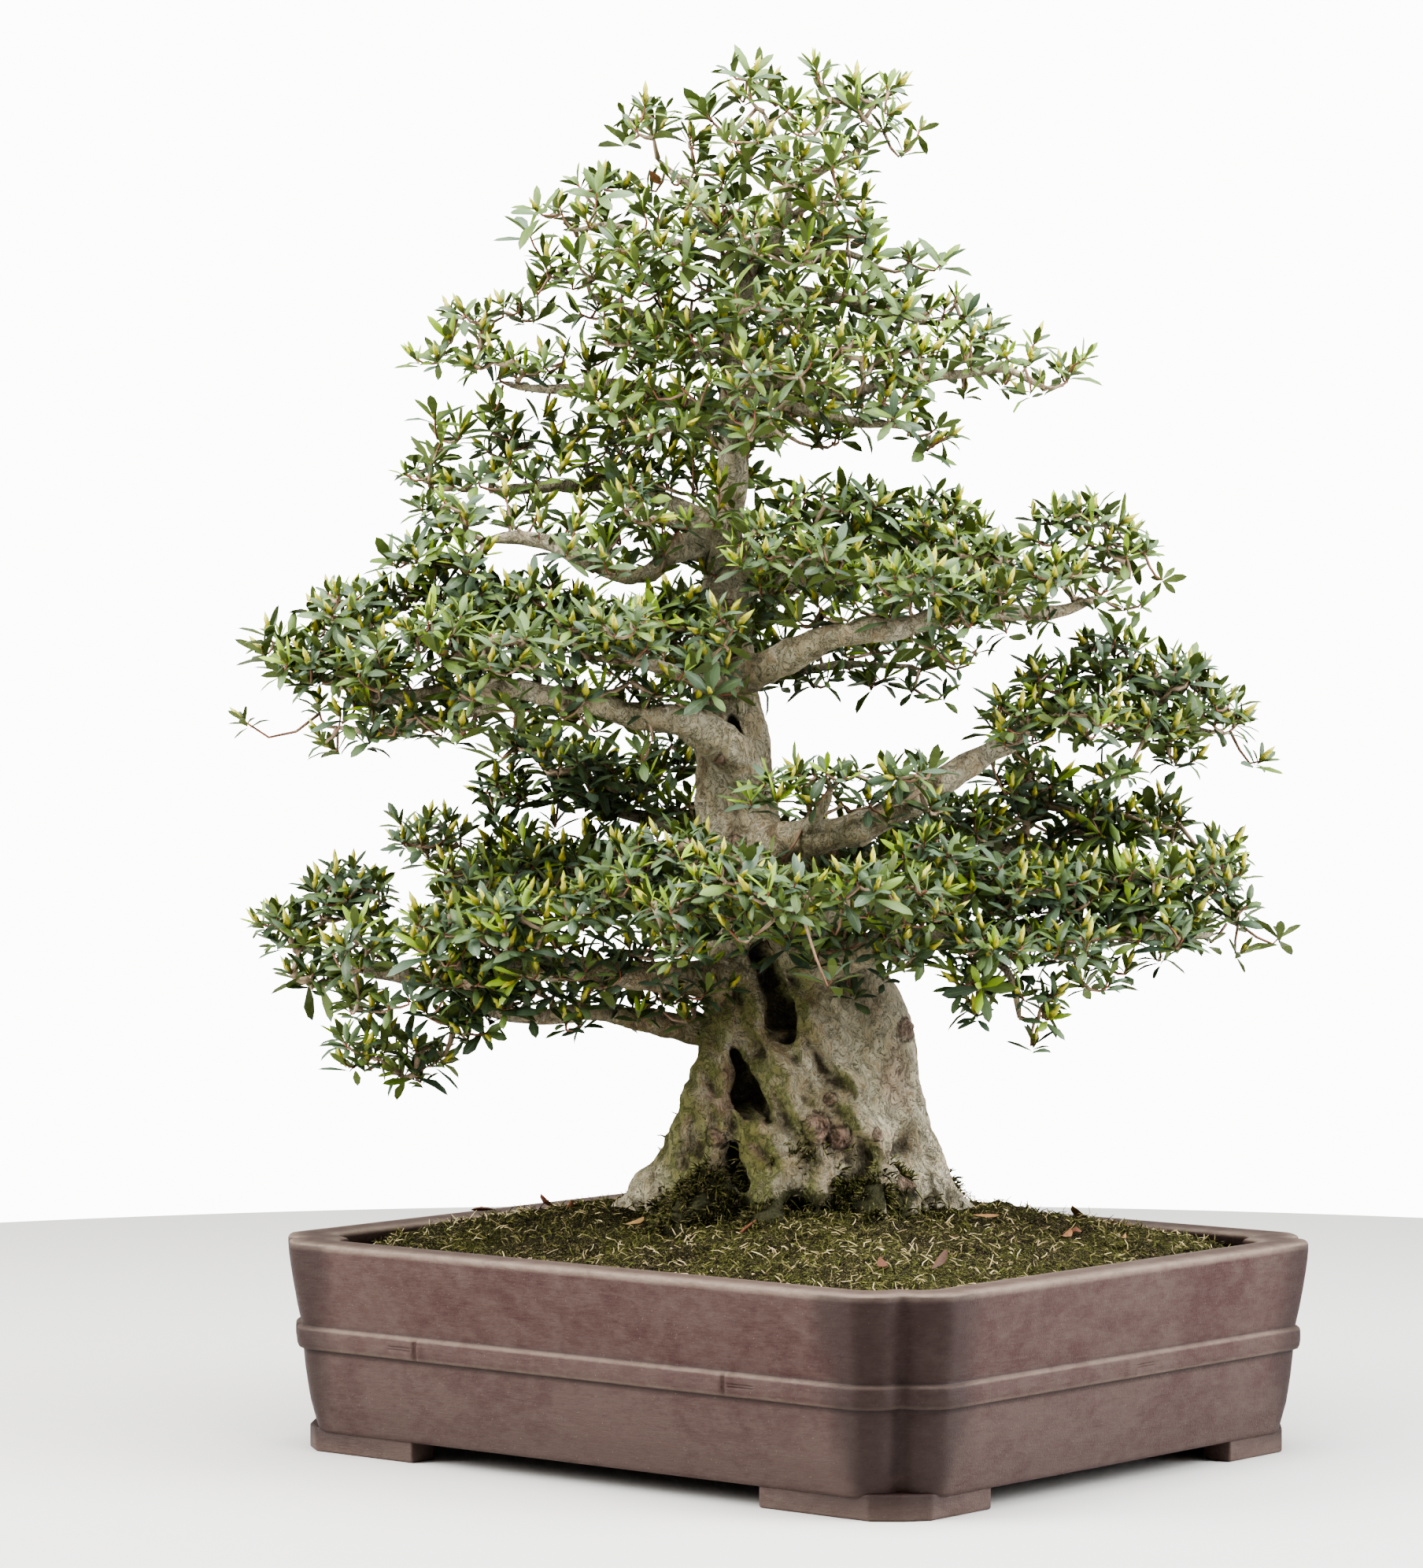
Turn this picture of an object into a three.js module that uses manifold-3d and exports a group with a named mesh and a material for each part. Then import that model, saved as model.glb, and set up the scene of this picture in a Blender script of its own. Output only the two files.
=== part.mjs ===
// Satsuki azalea bonsai in its rectangular clay pot.
//
// Millimetres, +Z up. The pot's long side lies along X and its short side along Y.
// The tree is described in a frame of its own, [right, away, up], measured from the middle of the
// pot's footprint and turned by TREE_TURN about Z. It is built from one trunk with its bare limb
// wood, and one node for each leafy spray that grows on from a limb's end.

import * as THREE from 'three';
import { mergeVertices } from 'three/addons/utils/BufferGeometryUtils.js';
import Module from 'manifold-3d';

const wasm = await Module();
wasm.setup();

// ---------------------------------------------------------------- driving dimensions

const GAP = 0.3; // air left between pieces that touch
const SLIVER = 0.02; // edges shorter than this are taken out after pieces are joined
const TREE_TURN = THREE.MathUtils.degToRad(39.8); // the tree's front faces a corner of the pot

const POT = {
  length: 560,
  depth: 472,
  height: 141,
  cut: 44, // length taken off each side at a cut corner
  crease: 3, // depth of the crease down the middle of a cut corner
  lip: 30, // width of the inward lip
  lipThickness: 10,
  floorTop: 26,
};
const FOOT = { height: 13.5, alongX: 115, alongY: 88, thickness: 22, inset: 19, cut: 28 };
// height and inset from the rim of each level of the outer wall, with the raised band half way up
const POT_WALL = [
  [FOOT.height, 17], [34, 12.4], [69, 8.4], [69.6, 5.8], [83.2, 5], [83.8, 7],
  [110, 2.9], [129, 0], [138.5, 0], [POT.height, 2.5],
];
const POT_HOLLOW = [
  [POT.floorTop, 29], [70, 20], [POT.height - POT.lipThickness - 1, 13],
  [POT.height - POT.lipThickness, POT.lip], [POT.height + 1, POT.lip],
];
const BAND_JOINT = { middle: 76.5, height: 15, width: 11, notch: 3.2, proud: 3 };
const BAND_JOINTS_X = 130; // place of the two joints on each long side; a short side has one
const DRAIN = { radius: 16, x: 118, screen: 44, screenThickness: 1.2, mesh: 15, bar: 3 };

// share of the pot's outline and height of the planting soil, from its foot to the top of its mound
const SOIL_SLOPE = [[1, 133], [0.78, 146], [0.5, 158]];
const SOIL_TOP = 167;

// trunk: height, place [right, away], width and depth
const TRUNK_BASE = [
  [112, 2, 0, 176, 160], [145, 2, 0, 202, 184], [183, 2, -2, 186, 166], [220, 5, -2, 158, 142],
  [257, 10, -3, 142, 124], [283, 10, -2, 136, 116], [310, 4, 0, 122, 104], [338, -10, 0, 96, 88],
];
const TRUNK_STEM = [
  [300, 6, 0, 100, 92], [338, -10, 0, 94, 86], [367, -24, 0, 74, 68], [398, -34, 0, 59, 56],
  [430, -39, 0, 54, 52], [475, -42, 0, 52, 49], [518, -48, 0, 42, 40], [550, -46, 0, 33, 32],
  [600, -47, 0, 26, 26], [643, -42, 0, 21, 21], [700, -43, 0, 16, 16], [753, -38, 0, 13, 13],
  [779, -31, 0, 11.5, 11.5], [802, -15, 0, 9.5, 9.5], [825, -6, 0, 8, 8], [842, -4, 0, 6, 6],
];
// surface roots: direction round the trunk in degrees, reach from the axis, thickness at the shoulder
const ROOTS = [
  [184, 124, 22], [222, 112, 19], [262, 104, 17], [306, 112, 19], [348, 124, 22],
  [38, 110, 20], [110, 108, 20],
];
const FLUTE = { depth: 0.13, spread: 17, top: 300 }; // how the roots' ribs run up into the trunk
// carved hollows and burrs: place and half sizes
const HOLLOWS = [
  [-32, -52, 246, 7, 14, 17], [-16, -56, 297, 9, 16, 20], [-40, -26, 476, 7, 10, 13],
];
const BURRS = [[68, -16, 281, 15, 18, 15], [34, -64, 212, 13, 10, 11]];

// A leaf is widest at a share of its length and droops at its tip. The leaves of a whorl meet on a
// small ring, fold up from their ribs, and stand on a stalk sunk into what bears them. They are
// lifted in steps of the listed degrees until they clear the leaves beside them.
const LEAF = {
  length: 28, width: 8.4, thickness: 1.1, widest: 0.46, droop: 0.14, fold: 1.6,
  whorl: 5, wideWhorl: 6, ring: 2.6, stalk: 1.6, sunk: 6, seat: 2.2, onSides: 2, sideRise: 50,
  lifts: [0, 10, 20, 32, 44], liftSpread: 26, lengthSpread: 0.12,
};
const BUD = { length: 17, width: 6, share: 0.2 };
// The fan of twigs under a pad: its size as a share of the pad, how far it sits below the pad's
// middle, how far it reaches before it grows slimmer, the pads small enough for one twig of this
// radius, how deep it is sunk in the wood, how wide it is where single leaves grow from its sides
// and how far out they are rooted, and the smaller sizes and other places along the wood to try
const CORE = {
  radius: 0.74, height: 0.5, drop: 0.2, reach: 26, smallestPad: 21, twig: 2.8, sunk: 2.5, wide: 22,
  rooting: 0.4, sides: 5, rough: 0.4, sizes: [1, 0.84, 0.7, 0.55, 0.4], otherRoots: [1, 0.5, 0.1],
};
const CROWDED = 1.02; // pads closer than this share of their radii are carried by one core

// limbs: radii of the wood at its two ends, the bare share that belongs to the trunk's node, the
// route of the wood, and the pads of foliage that the limb bears, each a place, radius and half height
const LIMBS = [
  { name: 'low_left_hang', base: 9, tip: 4, bare: 0.62,
    route: [[-45, -10, 275], [-95, -25, 285], [-140, -40, 290], [-185, -45, 290], [-225, -45, 295]],
    pads: [[-285, -50, 270, 28, 24], [-250, -35, 260, 30, 22], [-215, -50, 285, 28, 16],
           [-165, -55, 285, 18, 8]] },
  { name: 'low_left_top', base: 8, tip: 4, bare: 0.45,
    route: [[-30, 0, 360], [-80, 25, 365], [-130, 35, 370], [-175, 35, 380], [-210, 35, 385]],
    pads: [[-245, 30, 405, 34, 20], [-215, -15, 380, 36, 20], [-170, 10, 385, 38, 26],
           [-190, 60, 400, 26, 16], [-125, 40, 390, 36, 26]] },
  { name: 'low_left_main', base: 13, tip: 4, bare: 0.55,
    route: [[-15, -10, 320], [-60, -45, 315], [-110, -70, 320], [-160, -80, 325], [-190, -75, 325],
            [-235, -50, 315], [-275, -40, 320], [-300, -35, 325]],
    pads: [[-230, -85, 345, 38, 26], [-185, -105, 355, 40, 28], [-215, -70, 315, 38, 14],
           [-165, -95, 320, 28, 12], [-295, -25, 370, 38, 25], [-335, -20, 345, 28, 22],
           [-320, -30, 315, 26, 12], [-285, -65, 335, 32, 24], [-285, -55, 300, 26, 16]] },
  { name: 'left_bough', base: 13, tip: 3.5, bare: 0.72,
    route: [[-30, -10, 445], [-45, -35, 465], [-75, -60, 485], [-110, -70, 490], [-150, -80, 500],
            [-185, -80, 505], [-255, -60, 500], [-295, -50, 505]],
    pads: [[-215, -30, 560, 40, 26], [-185, -115, 530, 36, 22], [-230, -80, 540, 36, 24],
           [-165, -50, 560, 36, 26], [-295, -45, 550, 36, 28], [-315, -60, 520, 34, 20],
           [-340, -40, 530, 20, 22], [-275, -85, 520, 28, 22], [-255, -30, 565, 24, 18]] },
  { name: 'right_bough', base: 12, tip: 3.2, bare: 0.5,
    route: [[-45, -15, 510], [-5, -45, 525], [25, -60, 540], [60, -70, 545], [95, -70, 550],
            [125, -60, 555], [165, -50, 555], [200, -40, 565]],
    pads: [[90, -30, 615, 36, 24], [115, -60, 595, 30, 24], [70, -110, 575, 42, 18],
           [105, -95, 550, 28, 14], [125, -95, 570, 22, 14], [165, -40, 610, 24, 20],
           [195, -30, 610, 30, 22], [215, -30, 595, 26, 22], [240, -40, 580, 16, 12],
           [170, -70, 580, 30, 14], [220, -45, 560, 18, 10]] },
  { name: 'right_sweep', base: 13, tip: 3.5, bare: 0.5,
    route: [[-30, -10, 400], [0, -45, 405], [25, -55, 410], [55, -60, 420], [85, -50, 440],
            [120, -40, 460], [155, -30, 480], [185, -20, 490], [230, -5, 485], [270, 0, 475]],
    pads: [[140, -60, 485, 28, 22], [190, -60, 485, 34, 22], [165, -30, 510, 30, 24],
           [210, -50, 450, 22, 12], [210, -10, 525, 32, 24], [250, 0, 510, 32, 22],
           [280, 0, 490, 30, 20], [305, 0, 455, 15, 10], [240, -30, 480, 34, 18],
           [255, -20, 460, 22, 12]] },
  { name: 'low_right_main', base: 12, tip: 3.5, bare: 0.5,
    route: [[0, -25, 315], [35, -55, 330], [70, -70, 340], [110, -70, 345], [180, -50, 345],
            [225, -35, 345], [275, -20, 345]],
    pads: [[170, -60, 375, 40, 26], [125, -80, 375, 38, 26], [175, -90, 340, 36, 16],
           [125, -110, 340, 36, 16], [195, -80, 315, 24, 10], [270, -20, 380, 36, 22],
           [225, -40, 375, 38, 26], [240, -50, 345, 38, 18], [295, -10, 355, 22, 16],
           [320, -15, 340, 12, 9], [290, -20, 330, 16, 8]] },
  { name: 'left_shelf', base: 7, tip: 3.5, bare: 0.45,
    route: [[-40, 10, 400], [-75, 50, 410], [-110, 70, 420], [-145, 75, 430], [-165, 70, 445]],
    pads: [[-170, 60, 465, 34, 18], [-195, 60, 435, 28, 20], [-145, 35, 445, 36, 24],
           [-110, 60, 430, 32, 24], [-85, 95, 455, 26, 26], [-195, 50, 460, 14, 10]] },
  { name: 'left_bough_spur', base: 4, tip: 2.5, bare: 0.2,
    route: [[-185, -85, 505], [-205, -75, 490], [-245, -60, 485], [-275, -50, 475], [-300, -50, 480]],
    pads: [[-260, -50, 475, 13, 9], [-230, -80, 470, 14, 11], [-360, -50, 485, 12, 7]] },
  { name: 'left_inner', base: 7, tip: 4, bare: 0.4,
    route: [[-40, -20, 505], [-65, -60, 515], [-95, -80, 520], [-125, -85, 525]],
    pads: [[-140, -70, 545, 34, 26], [-110, -100, 540, 34, 24], [-80, -35, 550, 32, 24],
           [-50, -100, 545, 24, 20], [-75, -95, 515, 20, 14]] },
  { name: 'left_arch', base: 8.5, tip: 4, bare: 0.62,
    route: [[-60, -5, 600], [-80, -25, 595], [-95, -35, 580], [-115, -45, 580], [-140, -50, 590],
            [-160, -50, 600], [-185, -45, 605], [-205, -40, 600]],
    pads: [[-230, -30, 620, 28, 20], [-250, -40, 590, 26, 14], [-215, -50, 590, 24, 16],
           [-165, -60, 610, 18, 8], [-235, -40, 575, 20, 14]] },
  { name: 'left_lift', base: 6.5, tip: 3.5, bare: 0.5,
    route: [[-55, 0, 615], [-80, 20, 625], [-110, 30, 640], [-140, 30, 640], [-175, 20, 640],
            [-200, 10, 635]],
    pads: [[-235, 20, 670, 22, 24], [-245, 10, 645, 26, 18], [-195, 40, 670, 28, 24],
           [-210, 0, 640, 28, 14], [-150, 30, 675, 30, 16], [-160, -5, 650, 18, 10]] },
  { name: 'left_fill', base: 4.5, tip: 3, bare: 0.35,
    route: [[-50, 0, 605], [-70, -35, 610], [-90, -55, 615]],
    pads: [[-100, -60, 625, 28, 22], [-70, -50, 625, 20, 20], [-90, 30, 655, 24, 22]] },
  { name: 'left_reach', base: 5.5, tip: 3, bare: 0.55,
    route: [[-45, 0, 680], [-75, 10, 695], [-110, 15, 705], [-150, 15, 705], [-190, 15, 705]],
    pads: [[-215, 20, 745, 30, 22], [-240, 20, 725, 22, 14], [-195, 10, 720, 32, 18],
           [-180, 25, 755, 26, 18], [-240, 25, 675, 15, 10]] },
  { name: 'left_pocket', base: 4.5, tip: 3, bare: 0.35,
    route: [[-45, -5, 680], [-70, -25, 680], [-95, -35, 675]],
    pads: [[-120, -30, 690, 28, 18], [-85, -50, 675, 28, 18], [-65, -50, 700, 22, 18]] },
  { name: 'left_step', base: 4, tip: 2.5, bare: 0.35,
    route: [[-40, 0, 730], [-65, -15, 725], [-90, -20, 725]],
    pads: [[-110, -15, 735, 30, 22], [-75, -40, 730, 30, 22], [-135, 20, 755, 22, 18]] },
  { name: 'left_high', base: 4, tip: 2.5, bare: 0.5,
    route: [[-40, 0, 745], [-75, 15, 750], [-105, 20, 755], [-135, 15, 765]],
    pads: [[-165, 10, 780, 24, 24], [-140, 0, 780, 24, 18], [-175, 10, 805, 18, 12],
           [-95, -20, 765, 28, 20]] },
  { name: 'left_crown', base: 3.5, tip: 2.2, bare: 0.4,
    route: [[-30, 0, 780], [-60, -10, 790], [-90, -10, 800], [-120, -5, 810], [-145, 0, 810]],
    pads: [[-165, 0, 820, 22, 14], [-130, 10, 835, 26, 18], [-110, -35, 790, 30, 18],
           [-80, -35, 785, 26, 22]] },
  { name: 'left_spire', base: 3.5, tip: 2.2, bare: 0.4,
    route: [[-25, 0, 785], [-50, 5, 810], [-70, 10, 835], [-90, 10, 855]],
    pads: [[-100, 0, 880, 26, 20], [-115, 0, 865, 18, 14], [-75, 10, 870, 20, 18],
           [-70, -40, 820, 26, 16], [-45, -30, 815, 20, 18]] },
  { name: 'apex_left', base: 3, tip: 2, bare: 0.3,
    route: [[-5, 0, 835], [-10, 0, 860], [-20, 0, 885]],
    pads: [[-30, 0, 910, 24, 22], [-55, 0, 880, 24, 20], [-35, -30, 860, 26, 18],
           [-15, 10, 895, 18, 18]] },
  { name: 'apex_right', base: 3, tip: 2, bare: 0.25,
    route: [[-5, 0, 835], [20, 0, 850], [40, 0, 860], [50, 0, 875]],
    pads: [[15, 0, 910, 18, 18], [40, 10, 895, 26, 18], [60, 0, 900, 22, 14], [80, 0, 875, 12, 9],
           [40, 0, 860, 22, 16], [5, -35, 870, 20, 16]] },
  { name: 'crown_right', base: 3, tip: 2, bare: 0.3,
    route: [[-5, 0, 815], [10, -15, 825], [25, -25, 825]],
    pads: [[20, -30, 825, 26, 18], [40, 0, 825, 14, 14], [-10, -40, 835, 22, 16]] },
  { name: 'right_high', base: 3.5, tip: 2.2, bare: 0.35,
    route: [[-20, 0, 795], [10, 5, 790], [35, 10, 795], [55, 10, 785]],
    pads: [[45, 10, 805, 22, 12], [75, 10, 790, 20, 16], [95, 10, 785, 16, 12],
           [5, -35, 785, 26, 20], [-30, -45, 795, 24, 20]] },
  { name: 'right_shelf', base: 4.5, tip: 2.6, bare: 0.3,
    route: [[-35, 0, 760], [-5, 0, 765], [25, 0, 765], [55, 0, 755], [85, 0, 750]],
    pads: [[35, -15, 755, 32, 24], [75, 5, 760, 26, 24], [100, 10, 755, 26, 22],
           [120, 5, 740, 26, 20], [-5, -50, 750, 28, 22], [-35, -60, 755, 24, 20]] },
  { name: 'right_wand', base: 5, tip: 2.2, bare: 0.4,
    route: [[-40, 0, 710], [-10, -15, 705], [25, -25, 700], [60, -25, 705], [100, -20, 710],
            [135, -15, 715], [165, -10, 705]],
    pads: [[70, -35, 720, 32, 22], [105, -15, 725, 32, 22], [155, -10, 730, 12, 14],
           [180, -10, 710, 13, 12], [35, -50, 720, 28, 22], [130, -15, 720, 16, 14]] },
  { name: 'right_dip', base: 4.5, tip: 2.5, bare: 0.35,
    route: [[-40, 0, 690], [-15, -20, 695], [20, -35, 685], [55, -35, 680], [75, -35, 675]],
    pads: [[50, -40, 695, 26, 16], [70, -40, 695, 20, 16], [90, -30, 675, 15, 9],
           [5, -65, 710, 28, 20], [-30, -80, 710, 28, 20]] },
  { name: 'front_knot', base: 4, tip: 2.5, bare: 0.3,
    route: [[-40, 0, 670], [-25, -30, 675], [-5, -50, 675]],
    pads: [[-30, -75, 680, 26, 20], [-5, -65, 665, 22, 18], [25, -10, 665, 26, 18],
           [45, 0, 645, 15, 12]] },
  { name: 'right_mid', base: 6, tip: 3.2, bare: 0.4,
    route: [[-45, -5, 575], [-15, -25, 590], [15, -35, 595], [40, -40, 600]],
    pads: [[40, -35, 620, 36, 24], [5, -45, 625, 30, 24], [15, -80, 590, 30, 22],
           [-25, -85, 595, 30, 24], [65, -20, 605, 26, 20]] },
  { name: 'right_thread', base: 4, tip: 2.2, bare: 0.35,
    route: [[-40, 0, 515], [0, 40, 515], [35, 55, 520], [75, 60, 520]],
    pads: [[15, 40, 510, 20, 10], [55, 45, 510, 18, 12], [100, 40, 500, 13, 10],
           [120, 40, 530, 16, 8]] },
  { name: 'front_shelf', base: 5, tip: 3, bare: 0.35,
    route: [[5, -50, 405], [15, -80, 425], [20, -90, 440]],
    pads: [[25, -95, 460, 36, 22], [70, -105, 455, 30, 18], [-25, -105, 440, 30, 18],
           [55, -90, 475, 14, 9]] },
  { name: 'low_right_top', base: 8, tip: 4, bare: 0.4,
    route: [[-25, 15, 380], [25, 45, 390], [80, 60, 390], [135, 60, 395], [180, 60, 400]],
    pads: [[155, 40, 435, 36, 26], [205, 40, 415, 36, 24], [245, 40, 415, 28, 24],
           [115, 10, 415, 34, 24], [280, 20, 395, 24, 16], [75, 70, 405, 30, 20]] },
  { name: 'low_right_drop', base: 3.5, tip: 2.2, bare: 0.12,
    route: [[115, -75, 345], [135, -75, 325], [145, -70, 290]],
    pads: [[155, -60, 270, 14, 13], [115, -95, 315, 22, 12]] },
  { name: 'front_left', base: 7, tip: 3.5, bare: 0.45,
    route: [[-20, -40, 345], [-40, -85, 355], [-65, -115, 365], [-85, -130, 370]],
    pads: [[-80, -145, 365, 34, 22], [-110, -95, 390, 32, 24], [-75, -110, 400, 32, 22],
           [-75, -160, 340, 22, 16], [-135, -120, 365, 30, 24]] },
  { name: 'front_mid', base: 7, tip: 3.5, bare: 0.4,
    route: [[-15, -15, 345], [-15, -100, 365], [-20, -135, 375]],
    pads: [[-45, -155, 385, 34, 24], [-10, -175, 375, 36, 24], [20, -185, 320, 15, 14],
           [-35, -170, 350, 22, 14]] },
  { name: 'front_right', base: 7, tip: 3.5, bare: 0.4,
    route: [[0, -20, 335], [25, -90, 360], [45, -125, 365]],
    pads: [[35, -160, 380, 34, 24], [75, -150, 370, 34, 24], [85, -105, 400, 30, 20],
           [70, -115, 335, 26, 18]] },
  { name: 'back_low', base: 10, tip: 5, bare: 0.4,
    route: [[-5, 40, 340], [-5, 110, 345], [-10, 180, 350]],
    pads: [[-60, 215, 360, 40, 26], [0, 250, 370, 40, 26], [55, 220, 360, 40, 26],
           [-30, 180, 340, 34, 20], [25, 170, 340, 34, 20]] },
  { name: 'back_low_left', base: 8, tip: 4, bare: 0.4,
    route: [[-25, 30, 345], [-65, 90, 355], [-105, 135, 360], [-145, 155, 365]],
    pads: [[-165, 165, 370, 40, 26], [-215, 120, 360, 36, 24], [-120, 185, 370, 36, 24],
           [-90, 120, 345, 30, 20]] },
  { name: 'back_low_right', base: 8, tip: 4, bare: 0.4,
    route: [[15, 30, 345], [60, 90, 355], [105, 135, 360], [150, 150, 365]],
    pads: [[160, 165, 375, 40, 26], [110, 185, 365, 36, 24], [205, 125, 370, 36, 24],
           [70, 120, 350, 30, 20]] },
  { name: 'back_mid', base: 7, tip: 3.5, bare: 0.4,
    route: [[-45, 0, 540], [-30, 80, 555], [-15, 125, 560]],
    pads: [[-25, 160, 580, 36, 24], [25, 150, 585, 34, 24], [-75, 150, 555, 34, 22],
           [70, 120, 580, 30, 20]] },
  { name: 'back_mid_left', base: 5.5, tip: 3, bare: 0.4,
    route: [[-45, 15, 510], [-80, 70, 520], [-115, 105, 535]],
    pads: [[-150, 120, 545, 34, 22], [-110, 150, 545, 32, 22], [-190, 80, 550, 30, 20]] },
  { name: 'back_mid_right', base: 5.5, tip: 3, bare: 0.4,
    route: [[-45, 10, 560], [0, 60, 575], [55, 90, 580]],
    pads: [[90, 95, 590, 34, 22], [140, 60, 585, 30, 20], [55, 90, 600, 28, 20]] },
  { name: 'back_shoulder', base: 5, tip: 2.6, bare: 0.4,
    route: [[-40, 10, 650], [-35, 60, 655], [-40, 95, 665]],
    pads: [[-70, 110, 680, 30, 20], [-25, 125, 685, 30, 20], [10, 95, 695, 28, 20],
           [-110, 70, 670, 26, 18]] },
  { name: 'back_upper', base: 4, tip: 2.2, bare: 0.4,
    route: [[-40, 5, 720], [-25, 50, 730], [-20, 80, 740]],
    pads: [[-45, 90, 740, 28, 20], [-5, 95, 745, 28, 20], [40, 70, 735, 26, 18],
           [-85, 60, 745, 24, 18]] },
  { name: 'back_crown', base: 3, tip: 2, bare: 0.4,
    route: [[-25, 5, 785], [-30, 35, 800], [-35, 60, 810]],
    pads: [[-60, 60, 810, 24, 18], [-20, 65, 820, 24, 18], [15, 50, 805, 22, 16]] },
];

// ---------------------------------------------------------------- shapes

function seededRandom(seed) {
  let state = seed;
  return () => {
    state = (state + 0x6d2b79f5) | 0;
    let t = Math.imul(state ^ (state >>> 15), 1 | state);
    t = (t + Math.imul(t ^ (t >>> 7), 61 | t)) ^ t;
    return ((t ^ (t >>> 14)) >>> 0) / 4294967296;
  };
}

function vector([x, y, z]) {
  return new THREE.Vector3(x, y, z);
}

// A copy of a geometry that holds positions alone, so that its corners can be merged.
function bareGeometry(geometry) {
  const bare = geometry.clone();
  bare.deleteAttribute('normal');
  bare.deleteAttribute('uv');
  return bare;
}

// A closed solid from a three.js geometry.
function solidOf(geometry) {
  const merged = mergeVertices(bareGeometry(geometry), 1e-4);
  return new wasm.Manifold(new wasm.Mesh({
    numProp: 3,
    vertProperties: new Float32Array(merged.attributes.position.array),
    triVerts: new Uint32Array(merged.index.array),
  }));
}

// A closed solid through rings of points. Rings turn counterclockwise about the direction of
// travel; a ring of one point is a tip, and a ring may have more points than the one before it.
function loft(rings) {
  const points = rings.flat();
  const faces = [];
  let start = 0;
  for (let i = 0; i + 1 < rings.length; i++) {
    const [here, next] = [rings[i].length, rings[i + 1].length];
    const above = start + here;
    const count = Math.max(here, next);
    const [low, high] = [(j) => start + (Math.floor((j * here) / count) % here), (j) => (
      above + (Math.floor((j * next) / count) % next)
    )];
    for (let j = 0; j < count; j++) {
      if (low(j) !== low(j + 1)) faces.push(low(j), low(j + 1), high(j + 1));
      if (high(j) !== high(j + 1)) faces.push(low(j), high(j + 1), high(j));
    }
    start = above;
  }
  closeEnd(points, faces, rings[0], 0, true);
  closeEnd(points, faces, rings[rings.length - 1], start, false);
  const geometry = new THREE.BufferGeometry().setFromPoints(points);
  geometry.setIndex(faces);
  return solidOf(geometry);
}

function closeEnd(points, faces, ring, start, facesBack) {
  if (ring.length < 3) return;
  const middle = points.length;
  const hub = ring.length > 6;
  if (hub) {
    points.push(ring.reduce((sum, p) => sum.add(p), new THREE.Vector3()).divideScalar(ring.length));
  }
  for (let j = hub ? 0 : 1; j < (hub ? ring.length : ring.length - 1); j++) {
    const corner = hub ? middle : start;
    const [a, b] = [start + j, start + ((j + 1) % ring.length)];
    faces.push(corner, facesBack ? b : a, facesBack ? a : b);
  }
}

function ellipsoid([x, y, z, rx, ry, rz]) {
  const geometry = new THREE.SphereGeometry(1, 6, 5);
  geometry.scale(rx, ry, rz);
  geometry.translate(x, y, z);
  return solidOf(geometry);
}

// Tapered wood along part of a curve. Radii are given for the curve's two ends.
function stem(curve, { from = 0, to = 1, base, tip, sides, steps, grow = 0 }) {
  const frames = curve.computeFrenetFrames(steps * 4, false);
  const rings = [];
  for (let i = 0; i <= steps; i++) {
    const share = from + (to - from) * (i / steps);
    const frame = Math.round(share * steps * 4);
    const tangent = curve.getTangentAt(share);
    const normal = frames.normals[frame];
    const side = normal.clone().addScaledVector(tangent, -normal.dot(tangent)).normalize();
    const other = tangent.clone().cross(side);
    const radius = base + (tip - base) * share + grow;
    const middle = curve.getPointAt(share);
    rings.push(ringAbout(middle, side, other, radius, sides));
  }
  return loft(rings);
}

// Steps along a length of wood.
function woodSteps(length) {
  return Math.max(1, Math.round(length / 46));
}

function ringAbout(middle, side, other, radius, sides) {
  return Array.from({ length: sides }, (_, j) => {
    const angle = (2 * Math.PI * j) / sides;
    return middle.clone()
      .addScaledVector(side, radius * Math.cos(angle))
      .addScaledVector(other, radius * Math.sin(angle));
  });
}

function smoothCurve(points) {
  return new THREE.CatmullRomCurve3(points, false, 'centripetal');
}

// The largest body of a solid, without slivers or loose specks.
function oneBody(solid) {
  return solid.simplify(SLIVER).decompose()
    .reduce((best, body) => (body.volume() > best.volume() ? body : best));
}

function meshOf(name, solid, material) {
  const { vertProperties, triVerts } = solid.getMesh();
  const geometry = new THREE.BufferGeometry();
  geometry.setAttribute('position', new THREE.BufferAttribute(vertProperties, 3));
  geometry.setIndex(new THREE.BufferAttribute(triVerts, 1));
  const mesh = new THREE.Mesh(geometry, material);
  mesh.name = name;
  return mesh;
}

// ---------------------------------------------------------------- pot, screens and soil

// The pot's outline at one height: a rectangle with cut corners, each with a shallow crease.
function potOutline(inset, z, share = 1) {
  const [hx, hy] = [POT.length / 2 - inset, POT.depth / 2 - inset];
  const [cut, ease] = [POT.cut - inset * 0.4, 5];
  const corner = [
    [hx, hy - cut - ease], [hx - 2, hy - cut + ease],
    [hx - cut / 2 - POT.crease, hy - cut / 2 - POT.crease],
    [hx - cut + ease, hy - 2], [hx - cut - ease, hy],
  ];
  const outline = [];
  for (const [sx, sy] of [[1, 1], [-1, 1], [-1, -1], [1, -1]]) {
    const points = corner.map(([x, y]) => new THREE.Vector3(sx * x * share, sy * y * share, z));
    outline.push(...(sx * sy > 0 ? points : points.reverse()));
  }
  return outline;
}

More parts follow.
